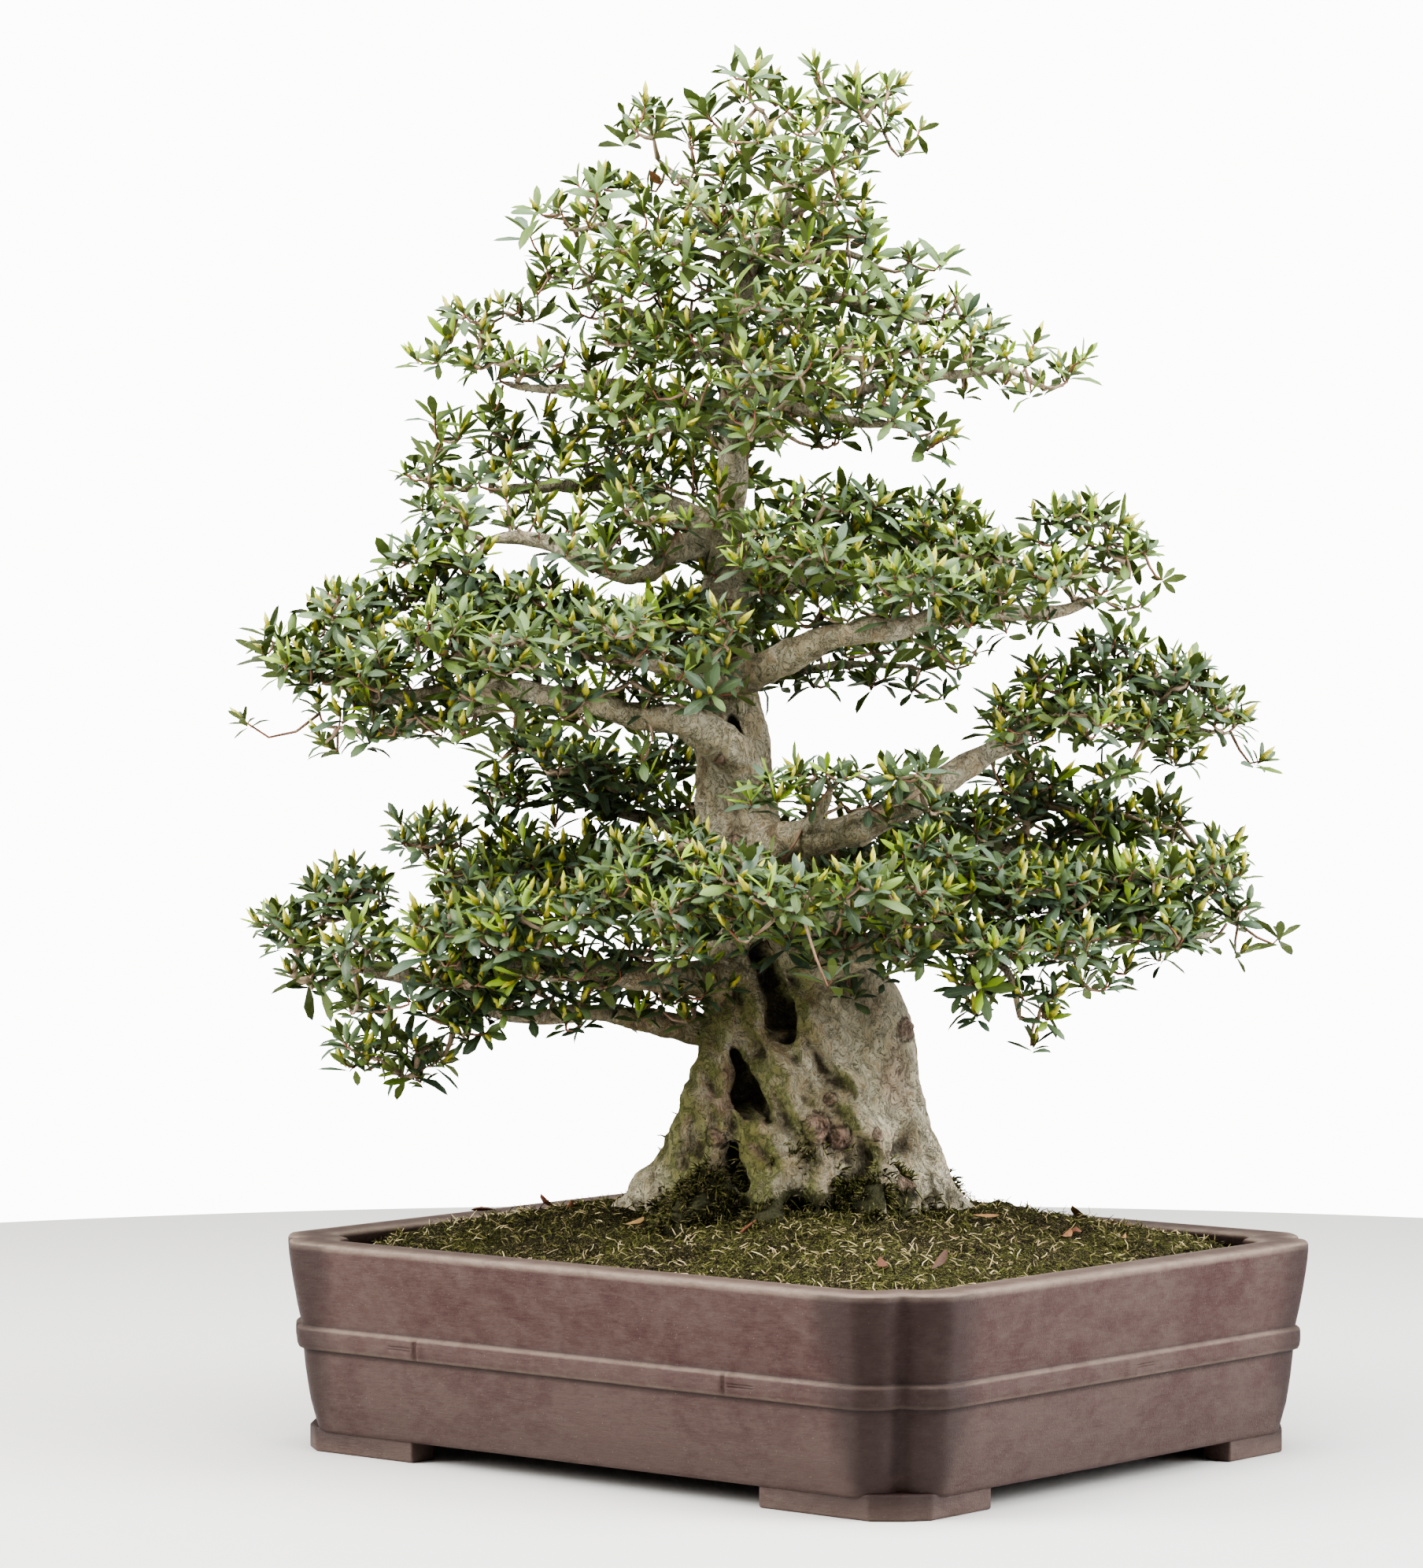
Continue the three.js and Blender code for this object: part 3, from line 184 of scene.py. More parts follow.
# dark cushions of moss on the foot of the trunk: place [right, away, up], spread across and
# up, and number of strands
ROOT_MOSS = [
    (-60, -70, 174, 25, 18, 980), (-84, -50, 164, 14, 8, 170), (42, -80, 172, 18, 17, 820),
    (-10, -88, 160, 20, 8, 330), (70, -62, 188, 8, 7, 70), (92, -44, 160, 16, 7, 120),
    (100, 30, 166, 20, 12, 190), (44, 86, 166, 24, 15, 260), (-30, 86, 166, 26, 16, 260),
    (-92, 46, 166, 22, 14, 200), (2, -76, 202, 12, 7, 60), (-70, 0, 200, 12, 12, 50),
    (-34, -92, 158, 26, 7, 260), (14, -92, 158, 26, 8, 480), (66, -76, 156, 22, 6, 180),
    (-96, -30, 156, 14, 7, 120), (-76, -84, 157, 20, 8, 260), (52, -104, 163, 10, 8, 120),
    (-16, -108, 157, 10, 6, 110),
]
CAUGHT_LEAF = (-93, -22, 841)  # a withered leaf that hangs in the twigs
STICKS = [  # dead twigs at the foot of the trunk, from one end [right, away, up] to the other
    ((-43, -114, 149), (-17, -95, 167)), ((-30, -108, 149), (-24, -92, 166)),
    ((-8, -113, 149), (-2, -94, 161)), ((2, -111, 150), (25, -104, 154)),
    ((-60, -108, 149), (-34, -106, 154)), ((-20, -112, 149), (6, -108, 153)),
]

# rings of a leaf and of a bud: place along it and share of its width
LEAF_RINGS = ((0.14, 0.34), (0.55, 1.0), (0.84, 0.7))
BUD_RINGS = ((0.14, 0.6), (0.38, 1.0), (0.7, 0.6))
LEAF_THICKNESS = 0.55
BUD_SIDES = 4
BUD_RADIUS = 0.155  # as a share of its length
BUDDED = 0.62  # share of the shoots that bear a bud
TWIG_SIDES = 3
TWIG_TIP = 0.72  # radius of a twig at its tip
FALLEN_LEAVES = 40  # how many fall, before those that miss the soil are taken away
WOOD_OVERLAP = 0.08  # share of a limb where its bare wood runs on inside its leafy part

VIEW_TURN = math.radians(39.84)  # how far round the camera stands from facing the pot's long side
VIEW_RISE = math.radians(1.62)
VIEW_RIGHT = np.array([math.cos(VIEW_TURN), math.sin(VIEW_TURN), 0])
VIEW_BACK = np.array([math.sin(VIEW_TURN), -math.cos(VIEW_TURN), 0])  # level, towards the camera
VIEW_DISTANCE = 3799 * MM
VIEW_TARGET = (-55.7 * MM, 441.3 * MM)  # to the right of the pot's middle, and above the floor
LENS = 131.6  # millimetres


class Limb(NamedTuple):
    """One limb: radii of its wood at the two ends, the share of it that is bare, the route of its
    wood, and the pads of leaves that it bears, each a place, a radius and a half height."""

    name: str
    base: float
    tip: float
    bare: float
    route: list
    pads: list


LIMBS = [Limb(*row) for row in (
    ("low_left_hang", 9, 4, 0.62,
     [(-45, -10, 275), (-95, -25, 285), (-140, -40, 290), (-185, -45, 290), (-225, -45, 295)],
     [(-285, -50, 270, 28, 24), (-250, -35, 260, 30, 22), (-215, -50, 285, 28, 16),
      (-165, -55, 285, 18, 8)]),
    ("low_left_top", 8, 4, 0.45,
     [(-30, 0, 360), (-80, 25, 365), (-130, 35, 370), (-175, 35, 380), (-210, 35, 385)],
     [(-245, 30, 405, 34, 20), (-215, -15, 380, 36, 20), (-170, 10, 385, 38, 26),
      (-190, 60, 400, 26, 16), (-125, 40, 390, 36, 26)]),
    ("low_left_main", 13, 4, 0.55,
     [(-15, -10, 320), (-60, -45, 315), (-110, -70, 320), (-160, -80, 325), (-190, -75, 325),
      (-235, -50, 315), (-275, -40, 320), (-300, -35, 325)],
     [(-230, -85, 345, 38, 26), (-185, -105, 355, 40, 28), (-215, -70, 315, 38, 14),
      (-165, -95, 320, 28, 12), (-295, -25, 370, 38, 25), (-335, -20, 345, 28, 22),
      (-320, -30, 315, 26, 12), (-285, -65, 335, 32, 24), (-285, -55, 300, 26, 16)]),
    ("left_bough", 13, 3.5, 0.72,
     [(-30, -10, 445), (-45, -35, 465), (-75, -60, 485), (-110, -70, 490), (-150, -80, 500),
      (-185, -80, 505), (-255, -60, 500), (-295, -50, 505)],
     [(-215, -30, 560, 40, 26), (-185, -115, 530, 36, 22), (-230, -80, 540, 36, 24),
      (-165, -50, 560, 36, 26), (-295, -45, 550, 36, 28), (-315, -60, 520, 34, 20),
      (-340, -40, 530, 20, 22), (-275, -85, 520, 28, 22), (-255, -30, 565, 24, 18)]),
    ("right_bough", 12, 3.2, 0.5,
     [(-45, -15, 510), (-5, -45, 525), (25, -60, 540), (60, -70, 545), (95, -70, 550), (125, -60, 555),
      (165, -50, 555), (200, -40, 565)],
     [(90, -30, 615, 36, 24), (115, -60, 595, 30, 24), (70, -110, 575, 42, 18),
      (105, -95, 550, 28, 14), (125, -95, 570, 22, 14), (165, -40, 610, 24, 20),
      (195, -30, 610, 30, 22), (215, -30, 595, 26, 22), (240, -40, 580, 16, 12),
      (170, -70, 580, 30, 14), (220, -45, 560, 18, 10)]),
    ("right_sweep", 13, 3.5, 0.5,
     [(-30, -10, 400), (0, -45, 405), (25, -55, 410), (55, -60, 420), (85, -50, 440), (120, -40, 460),
      (155, -30, 480), (185, -20, 490), (230, -5, 485), (270, 0, 475)],
     [(140, -60, 485, 28, 22), (190, -60, 485, 34, 22), (165, -30, 510, 30, 24),
      (210, -50, 450, 22, 12), (210, -10, 525, 32, 24), (250, 0, 510, 32, 22), (280, 0, 490, 30, 20),
      (305, 0, 455, 15, 10), (240, -30, 480, 34, 18), (255, -20, 460, 22, 12)]),
    ("low_right_main", 12, 3.5, 0.5,
     [(0, -25, 315), (35, -55, 330), (70, -70, 340), (110, -70, 345), (180, -50, 345), (225, -35, 345),
      (275, -20, 345)],
     [(170, -60, 375, 40, 26), (125, -80, 375, 38, 26), (175, -90, 340, 36, 16),
      (125, -110, 340, 36, 16), (195, -80, 315, 24, 10), (270, -20, 380, 36, 22),
      (225, -40, 375, 38, 26), (240, -50, 345, 38, 18), (295, -10, 355, 22, 16),
      (320, -15, 340, 12, 9), (290, -20, 330, 16, 8)]),
    ("left_shelf", 7, 3.5, 0.45,
     [(-40, 10, 400), (-75, 50, 410), (-110, 70, 420), (-145, 75, 430), (-165, 70, 445)],
     [(-170, 60, 465, 34, 18), (-195, 60, 435, 28, 20), (-145, 35, 445, 36, 24),
      (-110, 60, 430, 32, 24), (-85, 95, 455, 26, 26), (-195, 50, 460, 14, 10)]),
    ("left_bough_spur", 4, 2.5, 0.2,
     [(-185, -85, 505), (-205, -75, 490), (-245, -60, 485), (-275, -50, 475), (-300, -50, 480)],
     [(-260, -50, 475, 13, 9), (-230, -80, 470, 14, 11), (-360, -50, 485, 12, 7)]),
    ("left_inner", 7, 4, 0.4,
     [(-40, -20, 505), (-65, -60, 515), (-95, -80, 520), (-125, -85, 525)],
     [(-140, -70, 545, 34, 26), (-110, -100, 540, 34, 24), (-80, -35, 550, 32, 24),
      (-50, -100, 545, 24, 20), (-75, -95, 515, 20, 14)]),
    ("left_arch", 8.5, 4, 0.62,
     [(-60, -5, 600), (-80, -25, 595), (-95, -35, 580), (-115, -45, 580), (-140, -50, 590),
      (-160, -50, 600), (-185, -45, 605), (-205, -40, 600)],
     [(-230, -30, 620, 28, 20), (-250, -40, 590, 26, 14), (-215, -50, 590, 24, 16),
      (-165, -60, 610, 18, 8), (-235, -40, 575, 20, 14)]),
    ("left_lift", 6.5, 3.5, 0.5,
     [(-55, 0, 615), (-80, 20, 625), (-110, 30, 640), (-140, 30, 640), (-175, 20, 640),
      (-200, 10, 635)],
     [(-235, 20, 670, 22, 24), (-245, 10, 645, 26, 18), (-195, 40, 670, 28, 24),
      (-210, 0, 640, 28, 14), (-150, 30, 675, 30, 16), (-160, -5, 650, 18, 10)]),
    ("left_fill", 4.5, 3, 0.35,
     [(-50, 0, 605), (-70, -35, 610), (-90, -55, 615)],
     [(-100, -60, 625, 28, 22), (-70, -50, 625, 20, 20), (-90, 30, 655, 24, 22)]),
    ("left_reach", 5.5, 3, 0.55,
     [(-45, 0, 680), (-75, 10, 695), (-110, 15, 705), (-150, 15, 705), (-190, 15, 705)],
     [(-215, 20, 745, 30, 22), (-240, 20, 725, 22, 14), (-195, 10, 720, 32, 18),
      (-180, 25, 755, 26, 18), (-240, 25, 675, 15, 10)]),
    ("left_pocket", 4.5, 3, 0.35,
     [(-45, -5, 680), (-70, -25, 680), (-95, -35, 675)],
     [(-120, -30, 690, 28, 18), (-85, -50, 675, 28, 18), (-65, -50, 700, 22, 18)]),
    ("left_step", 4, 2.5, 0.35,
     [(-40, 0, 730), (-65, -15, 725), (-90, -20, 725)],
     [(-110, -15, 735, 30, 22), (-75, -40, 730, 30, 22), (-135, 20, 755, 22, 18)]),
    ("left_high", 4, 2.5, 0.5,
     [(-40, 0, 745), (-75, 15, 750), (-105, 20, 755), (-135, 15, 765)],
     [(-165, 10, 780, 24, 24), (-140, 0, 780, 24, 18), (-175, 10, 805, 18, 12),
      (-95, -20, 765, 28, 20)]),
    ("left_crown", 3.5, 2.2, 0.4,
     [(-30, 0, 780), (-60, -10, 790), (-90, -10, 800), (-120, -5, 810), (-145, 0, 810)],
     [(-165, 0, 820, 22, 14), (-130, 10, 835, 26, 18), (-110, -35, 790, 30, 18),
      (-80, -35, 785, 26, 22)]),
    ("left_spire", 3.5, 2.2, 0.4,
     [(-25, 0, 785), (-50, 5, 810), (-70, 10, 835), (-90, 10, 855)],
     [(-100, 0, 880, 26, 20), (-115, 0, 865, 18, 14), (-75, 10, 870, 20, 18), (-70, -40, 820, 26, 16),
      (-45, -30, 815, 20, 18)]),
    ("apex_left", 3, 2, 0.3,
     [(-5, 0, 835), (-10, 0, 860), (-20, 0, 885)],
     [(-30, 0, 910, 24, 22), (-55, 0, 880, 24, 20), (-35, -30, 860, 26, 18), (-15, 10, 895, 18, 18)]),
    ("apex_right", 3, 2, 0.25,
     [(-5, 0, 835), (20, 0, 850), (40, 0, 860), (50, 0, 875)],
     [(15, 0, 910, 18, 18), (40, 10, 895, 26, 18), (60, 0, 900, 22, 14), (80, 0, 875, 12, 9),
      (40, 0, 860, 22, 16), (5, -35, 870, 20, 16)]),
    ("crown_right", 3, 2, 0.3,
     [(-5, 0, 815), (10, -15, 825), (25, -25, 825)],
     [(20, -30, 825, 26, 18), (40, 0, 825, 14, 14), (-10, -40, 835, 22, 16)]),
    ("right_high", 3.5, 2.2, 0.35,
     [(-20, 0, 795), (10, 5, 790), (35, 10, 795), (55, 10, 785)],
     [(45, 10, 805, 22, 12), (75, 10, 790, 20, 16), (95, 10, 785, 16, 12), (5, -35, 785, 26, 20),
      (-30, -45, 795, 24, 20)]),
    ("right_shelf", 4.5, 2.6, 0.3,
     [(-35, 0, 760), (-5, 0, 765), (25, 0, 765), (55, 0, 755), (85, 0, 750)],
     [(35, -15, 755, 32, 24), (75, 5, 760, 26, 24), (100, 10, 755, 26, 22), (120, 5, 740, 26, 20),
      (-5, -50, 750, 28, 22), (-35, -60, 755, 24, 20)]),
    ("right_wand", 5, 2.2, 0.4,
     [(-40, 0, 710), (-10, -15, 705), (25, -25, 700), (60, -25, 705), (100, -20, 710), (135, -15, 715),
      (165, -10, 705)],
     [(70, -35, 720, 32, 22), (105, -15, 725, 32, 22), (155, -10, 730, 12, 14),
      (180, -10, 710, 13, 12), (35, -50, 720, 28, 22), (130, -15, 720, 16, 14)]),
    ("right_dip", 4.5, 2.5, 0.35,
     [(-40, 0, 690), (-15, -20, 695), (20, -35, 685), (55, -35, 680), (75, -35, 675)],
     [(50, -40, 695, 26, 16), (70, -40, 695, 20, 16), (90, -30, 675, 15, 9), (5, -65, 710, 28, 20),
      (-30, -80, 710, 28, 20)]),
    ("front_knot", 4, 2.5, 0.3,
     [(-40, 0, 670), (-25, -30, 675), (-5, -50, 675)],
     [(-30, -75, 680, 26, 20), (-5, -65, 665, 22, 18), (25, -10, 665, 26, 18), (45, 0, 645, 15, 12)]),
    ("right_mid", 6, 3.2, 0.4,
     [(-45, -5, 575), (-15, -25, 590), (15, -35, 595), (40, -40, 600)],
     [(40, -35, 620, 36, 24), (5, -45, 625, 30, 24), (15, -80, 590, 30, 22), (-25, -85, 595, 30, 24),
      (65, -20, 605, 26, 20)]),
    ("right_thread", 4, 2.2, 0.35,
     [(-40, 0, 515), (0, 40, 515), (35, 55, 520), (75, 60, 520)],
     [(15, 40, 510, 20, 10), (55, 45, 510, 18, 12), (100, 40, 500, 13, 10), (120, 40, 530, 16, 8)]),
    ("front_shelf", 5, 3, 0.35,
     [(5, -50, 405), (15, -80, 425), (20, -90, 440)],
     [(25, -95, 460, 36, 22), (70, -105, 455, 30, 18), (-25, -105, 440, 30, 18),
      (55, -90, 475, 14, 9)]),
    ("low_right_top", 8, 4, 0.4,
     [(-25, 15, 380), (25, 45, 390), (80, 60, 390), (135, 60, 395), (180, 60, 400)],
     [(155, 40, 435, 36, 26), (205, 40, 415, 36, 24), (245, 40, 415, 28, 24), (115, 10, 415, 34, 24),
      (280, 20, 395, 24, 16), (75, 70, 405, 30, 20)]),
    ("low_right_drop", 3.5, 2.2, 0.12,
     [(115, -75, 345), (135, -75, 325), (145, -70, 290)],
     [(155, -60, 270, 14, 13), (115, -95, 315, 22, 12)]),
    ("front_left", 7, 3.5, 0.45,
     [(-20, -40, 345), (-40, -85, 355), (-65, -115, 365), (-85, -130, 370)],
     [(-80, -145, 365, 34, 22), (-110, -95, 390, 32, 24), (-75, -110, 400, 32, 22),
      (-75, -160, 340, 22, 16), (-135, -120, 365, 30, 24)]),
    ("front_mid", 7, 3.5, 0.4,
     [(-15, -15, 345), (-15, -100, 365), (-20, -135, 375)],
     [(-45, -155, 385, 34, 24), (-10, -175, 375, 36, 24), (20, -185, 320, 15, 14),
      (-35, -170, 350, 22, 14)]),
    ("front_right", 7, 3.5, 0.4,
     [(0, -20, 335), (25, -90, 360), (45, -125, 365)],
     [(35, -160, 380, 34, 24), (75, -150, 370, 34, 24), (85, -105, 400, 30, 20),
      (70, -115, 335, 26, 18)]),
    ("back_low", 10, 5, 0.4,
     [(-5, 40, 340), (-5, 110, 345), (-10, 180, 350)],
     [(-60, 215, 360, 40, 26), (0, 250, 370, 40, 26), (55, 220, 360, 40, 26), (-30, 180, 340, 34, 20),
      (25, 170, 340, 34, 20)]),
    ("back_low_left", 8, 4, 0.4,
     [(-25, 30, 345), (-65, 90, 355), (-105, 135, 360), (-145, 155, 365)],
     [(-165, 165, 370, 40, 26), (-215, 120, 360, 36, 24), (-120, 185, 370, 36, 24),
      (-90, 120, 345, 30, 20)]),
    ("back_low_right", 8, 4, 0.4,
     [(15, 30, 345), (60, 90, 355), (105, 135, 360), (150, 150, 365)],
     [(160, 165, 375, 40, 26), (110, 185, 365, 36, 24), (205, 125, 370, 36, 24),
      (70, 120, 350, 30, 20)]),
    ("back_mid", 7, 3.5, 0.4,
     [(-45, 0, 540), (-30, 80, 555), (-15, 125, 560)],
     [(-25, 160, 580, 36, 24), (25, 150, 585, 34, 24), (-75, 150, 555, 34, 22),
      (70, 120, 580, 30, 20)]),
    ("back_mid_left", 5.5, 3, 0.4,
     [(-45, 15, 510), (-80, 70, 520), (-115, 105, 535)],
     [(-150, 120, 545, 34, 22), (-110, 150, 545, 32, 22), (-190, 80, 550, 30, 20)]),
    ("back_mid_right", 5.5, 3, 0.4,
     [(-45, 10, 560), (0, 60, 575), (55, 90, 580)],
     [(90, 95, 590, 34, 22), (140, 60, 585, 30, 20), (55, 90, 600, 28, 20)]),
    ("back_shoulder", 5, 2.6, 0.4,
     [(-40, 10, 650), (-35, 60, 655), (-40, 95, 665)],
     [(-70, 110, 680, 30, 20), (-25, 125, 685, 30, 20), (10, 95, 695, 28, 20),
      (-110, 70, 670, 26, 18)]),
    ("back_upper", 4, 2.2, 0.4,
     [(-40, 5, 720), (-25, 50, 730), (-20, 80, 740)],
     [(-45, 90, 740, 28, 20), (-5, 95, 745, 28, 20), (40, 70, 735, 26, 18), (-85, 60, 745, 24, 18)]),
    ("back_crown", 3, 2, 0.4,
     [(-25, 5, 785), (-30, 35, 800), (-35, 60, 810)],
     [(-60, 60, 810, 24, 18), (-20, 65, 820, 24, 18), (15, 50, 805, 22, 16)]),
)]


# ------------------------ numbers and curves


def paint(red, green, blue):
    """A colour in linear light from screen values of 0 to 255."""
    return tuple(((v / 255 + 0.055) / 1.055) ** 2.4 for v in (red, green, blue))


def turned(vectors, turn=TREE_TURN):
    """Directions of the tree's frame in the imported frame, or the other way for -TREE_TURN."""
    x, y, z = np.asarray(vectors, float).T
    c, s = math.cos(turn), math.sin(turn)
    return np.stack([x * c - y * s, x * s + y * c, z], axis=1)


def to_metres(points, turn=0.0):
    """Points of the pot's frame, or of the tree's where turn is given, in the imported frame."""
    return turned(points, turn) * MM + POT_MIDDLE


def to_tree(points):
    """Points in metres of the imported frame, back in the tree's own frame in millimetres."""
    return turned((points - POT_MIDDLE) / MM, -TREE_TURN)


def unit(vectors):
    return vectors / np.maximum(np.linalg.norm(vectors, axis=-1, keepdims=True), 1e-9)


def ease(x, low, high):
    """0 below low and 1 above high, smooth between."""
    t = np.clip((np.asarray(x, float) - low) / (high - low), 0, 1)
    return t * t * (3 - 2 * t)


def hump(x, width):
    """1 at 0, and less on both sides of it, to nearly 0 at twice the width."""
    return np.exp(-((x / width) ** 2))


def cell_chance(cells, seed):
    """A number from -1 to 1 for each whole-numbered cell, the same every time."""
    x, y, z = (cells[:, k].astype(np.int64) for k in range(3))
    n = (x * 73856093) ^ (y * 19349663) ^ (z * 83492791) ^ (seed * 40503)
    n = (n ^ (n >> 13)) * 1274126177
    return ((n ^ (n >> 16)) & 0xFFFFFF) / 0x7FFFFF - 1.0


def grain(points, size, seed=0):
    """Smooth noise from -1 to 1 whose lumps have this size, or a size along each axis."""
    scaled = np.asarray(points, float) / size
    cell = np.floor(scaled)
    part = scaled - cell
    part = part * part * (3 - 2 * part)
    total = np.zeros(len(scaled))
    for corner in np.ndindex(2, 2, 2):
        weight = np.prod(np.where(corner, part, 1 - part), axis=1)
        total += weight * cell_chance(cell + corner, seed)
    return total


def smooth_path(points, count):
    """A centripetal Catmull-Rom curve through points, as count evenly spaced points."""
    p = np.array(points, float)
    p = np.vstack([2 * p[0] - p[1], p, 2 * p[-1] - p[-2]])
    pieces = []
    t = np.linspace(0, 1, 20, endpoint=False)[:, None]
    for i in range(1, len(p) - 2):
        a, b, c, d = p[i - 1:i + 3]
        ab, bc, cd = (max(np.linalg.norm(v - u) ** 0.5, 1e-4) for u, v in ((a, b), (b, c), (c, d)))
        start = ((b - a) / ab - (c - a) / (ab + bc) + (c - b) / bc) * bc
        end = ((c - b) / bc - (d - b) / (bc + cd) + (d - c) / cd) * bc
        pieces.append((2 * t**3 - 3 * t**2 + 1) * b + (t**3 - 2 * t**2 + t) * start
                      + (3 * t**2 - 2 * t**3) * c + (t**3 - t**2) * end)
    return evenly(np.vstack(pieces + [p[-2][None]]), count)


def steps_of(path):
    """The distance from each point of a path to the next."""
    return np.linalg.norm(np.diff(path, axis=0), axis=1)


def evenly(path, count):
    """Count points at even spacing along a path of points."""
    return at_lengths(path, np.linspace(0, np.cumsum(steps_of(path))[-1], count))


def at_lengths(path, lengths):
    """The points that lie at these lengths along a path."""
    reached = np.concatenate([[0], np.cumsum(steps_of(path))])
    return np.stack([np.interp(lengths, reached, column) for column in path.T], axis=1)


# ------------------------ meshes


def new_piece(name, points, faces):
    """A smooth mesh object from points in metres and faces of point numbers."""
    mesh = bpy.data.meshes.new(name)
    mesh.from_pydata(np.asarray(points).tolist(), [], faces)
    mesh.validate()
    mesh.polygons.foreach_set("use_smooth", np.ones(len(mesh.polygons), bool))
    piece = bpy.data.objects.new(name, mesh)
    bpy.context.scene.collection.objects.link(piece)
    return piece


def coat(piece, *materials, kinds=None):
    """Gives a piece its materials and, where it has several, the number of its own to each face."""
    for material in materials:
        piece.data.materials.append(material)
    if kinds is not None:
        piece.data.polygons.foreach_set("material_index", np.asarray(kinds, np.int32))


def seat(piece, slot, *nodes):
    """Ties a finished piece to the frame: its body and the nodes it replaces. Its slot in the record is
    not used.
    """
    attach(piece, "root")
    if nodes:
        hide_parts(*nodes)


def set_points(piece, name, values):
    """A value at each point of a piece's mesh, for its material to read."""
    attribute = piece.data.attributes.new(name, "FLOAT", "POINT")
    attribute.data.foreach_set("value", np.asarray(values, np.float32))


def rows_of(items, name, width, kind=np.float32):
    """One property of all items of a mesh, as an array with this many numbers for each."""
    values = np.zeros(len(items) * width, kind)
    items.foreach_get(name, values)
    return values.reshape(-1, width)


def points_of(piece):
    return rows_of(piece.data.vertices, "co", 3).astype(float)


def normals_of(piece):
    return rows_of(piece.data.vertex_normals, "vector", 3).astype(float)


def apply_modifier(piece, kind, **settings):
    modifier = piece.modifiers.new(kind, kind)
    for key, value in settings.items():
        setattr(modifier, key, value)
    with bpy.context.temp_override(object=piece, active_object=piece, selected_objects=[piece]):
        bpy.ops.object.modifier_apply(modifier=modifier.name)


def sharpen(piece, wanted):
    """Marks as sharp the edges whose two ends are both wanted, a true or false for each point."""
    mesh = piece.data
    sharp = mesh.attributes.get("sharp_edge") or mesh.attributes.new("sharp_edge", "BOOLEAN", "EDGE")
    sharp.data.foreach_set("value", wanted[rows_of(mesh.edges, "vertices", 2, np.int32)].all(axis=1))


def joined(parts):
    """Points and faces of several parts, each given as its own points and faces, in one."""
    points, faces, start = [], [], 0
    for part_points, part_faces in parts:
        faces += [[v + start for v in face] for face in part_faces]
        points.append(part_points)
        start += len(part_points)
    return np.vstack(points), faces


def repeated(shapes, faces):
    """Points and faces of like shapes, given as shapes by points by three and the faces of one."""
    count, each = shapes.shape[:2]
    return shapes.reshape(-1, 3), [[v + each * n for v in face] for n in range(count) for face in faces]


def from_bmesh(mesh):
    """Points and faces of a bmesh, which is freed."""
    mesh.verts.ensure_lookup_table()
    points = np.array([v.co for v in mesh.verts])
    faces = [[v.index for v in face.verts] for face in mesh.faces]
    mesh.free()
    return points, faces


def skin(rings):
    """Points and faces of a closed skin over rings of equal count, with a fan at each end. Rings
    turn counterclockwise about the direction of travel."""
    rings = np.asarray(rings, float)
    levels, count = rings.shape[:2]
    points = np.vstack([rings.reshape(-1, 3), rings[0].mean(0)[None], rings[-1].mean(0)[None]])
    here = np.arange(count)
    after = (here + 1) % count
    faces = []
    for level in range(levels - 1):
        low, high = level * count, (level + 1) * count
        faces += np.stack([low + here, low + after, high + after, high + here], axis=1).tolist()
    top = (levels - 1) * count
    first, last = len(points) - 2, len(points) - 1
    faces += np.stack([np.full(count, first), after, here], axis=1).tolist()
    faces += np.stack([np.full(count, last), top + here, top + after], axis=1).tolist()
    return points, faces


def tube_rings(path, radii, sides, wobble=0.0, seed=0):
    """Rings round a path, with no twist between them."""
    path = np.asarray(path, float)
    tangent = unit(np.gradient(path, axis=0))
    side = unit(np.cross(tangent[0], (0.3, 0.2, 1.0) if abs(tangent[0][2]) < 0.9 else (1.0, 0.1, 0)))
    rings = []
    turn = 2 * np.pi * np.arange(sides) / sides
    for middle, forward, radius in zip(path, tangent, radii):
        side = unit(side - forward * side.dot(forward))
        other = np.cross(forward, side)
        ring = middle + radius * (np.cos(turn)[:, None] * side + np.sin(turn)[:, None] * other)
        if wobble:
            swell = 1 + wobble * grain(ring, 14.0, seed)
            ring = middle + (ring - middle) * swell[:, None]
        rings.append(ring)
    return rings


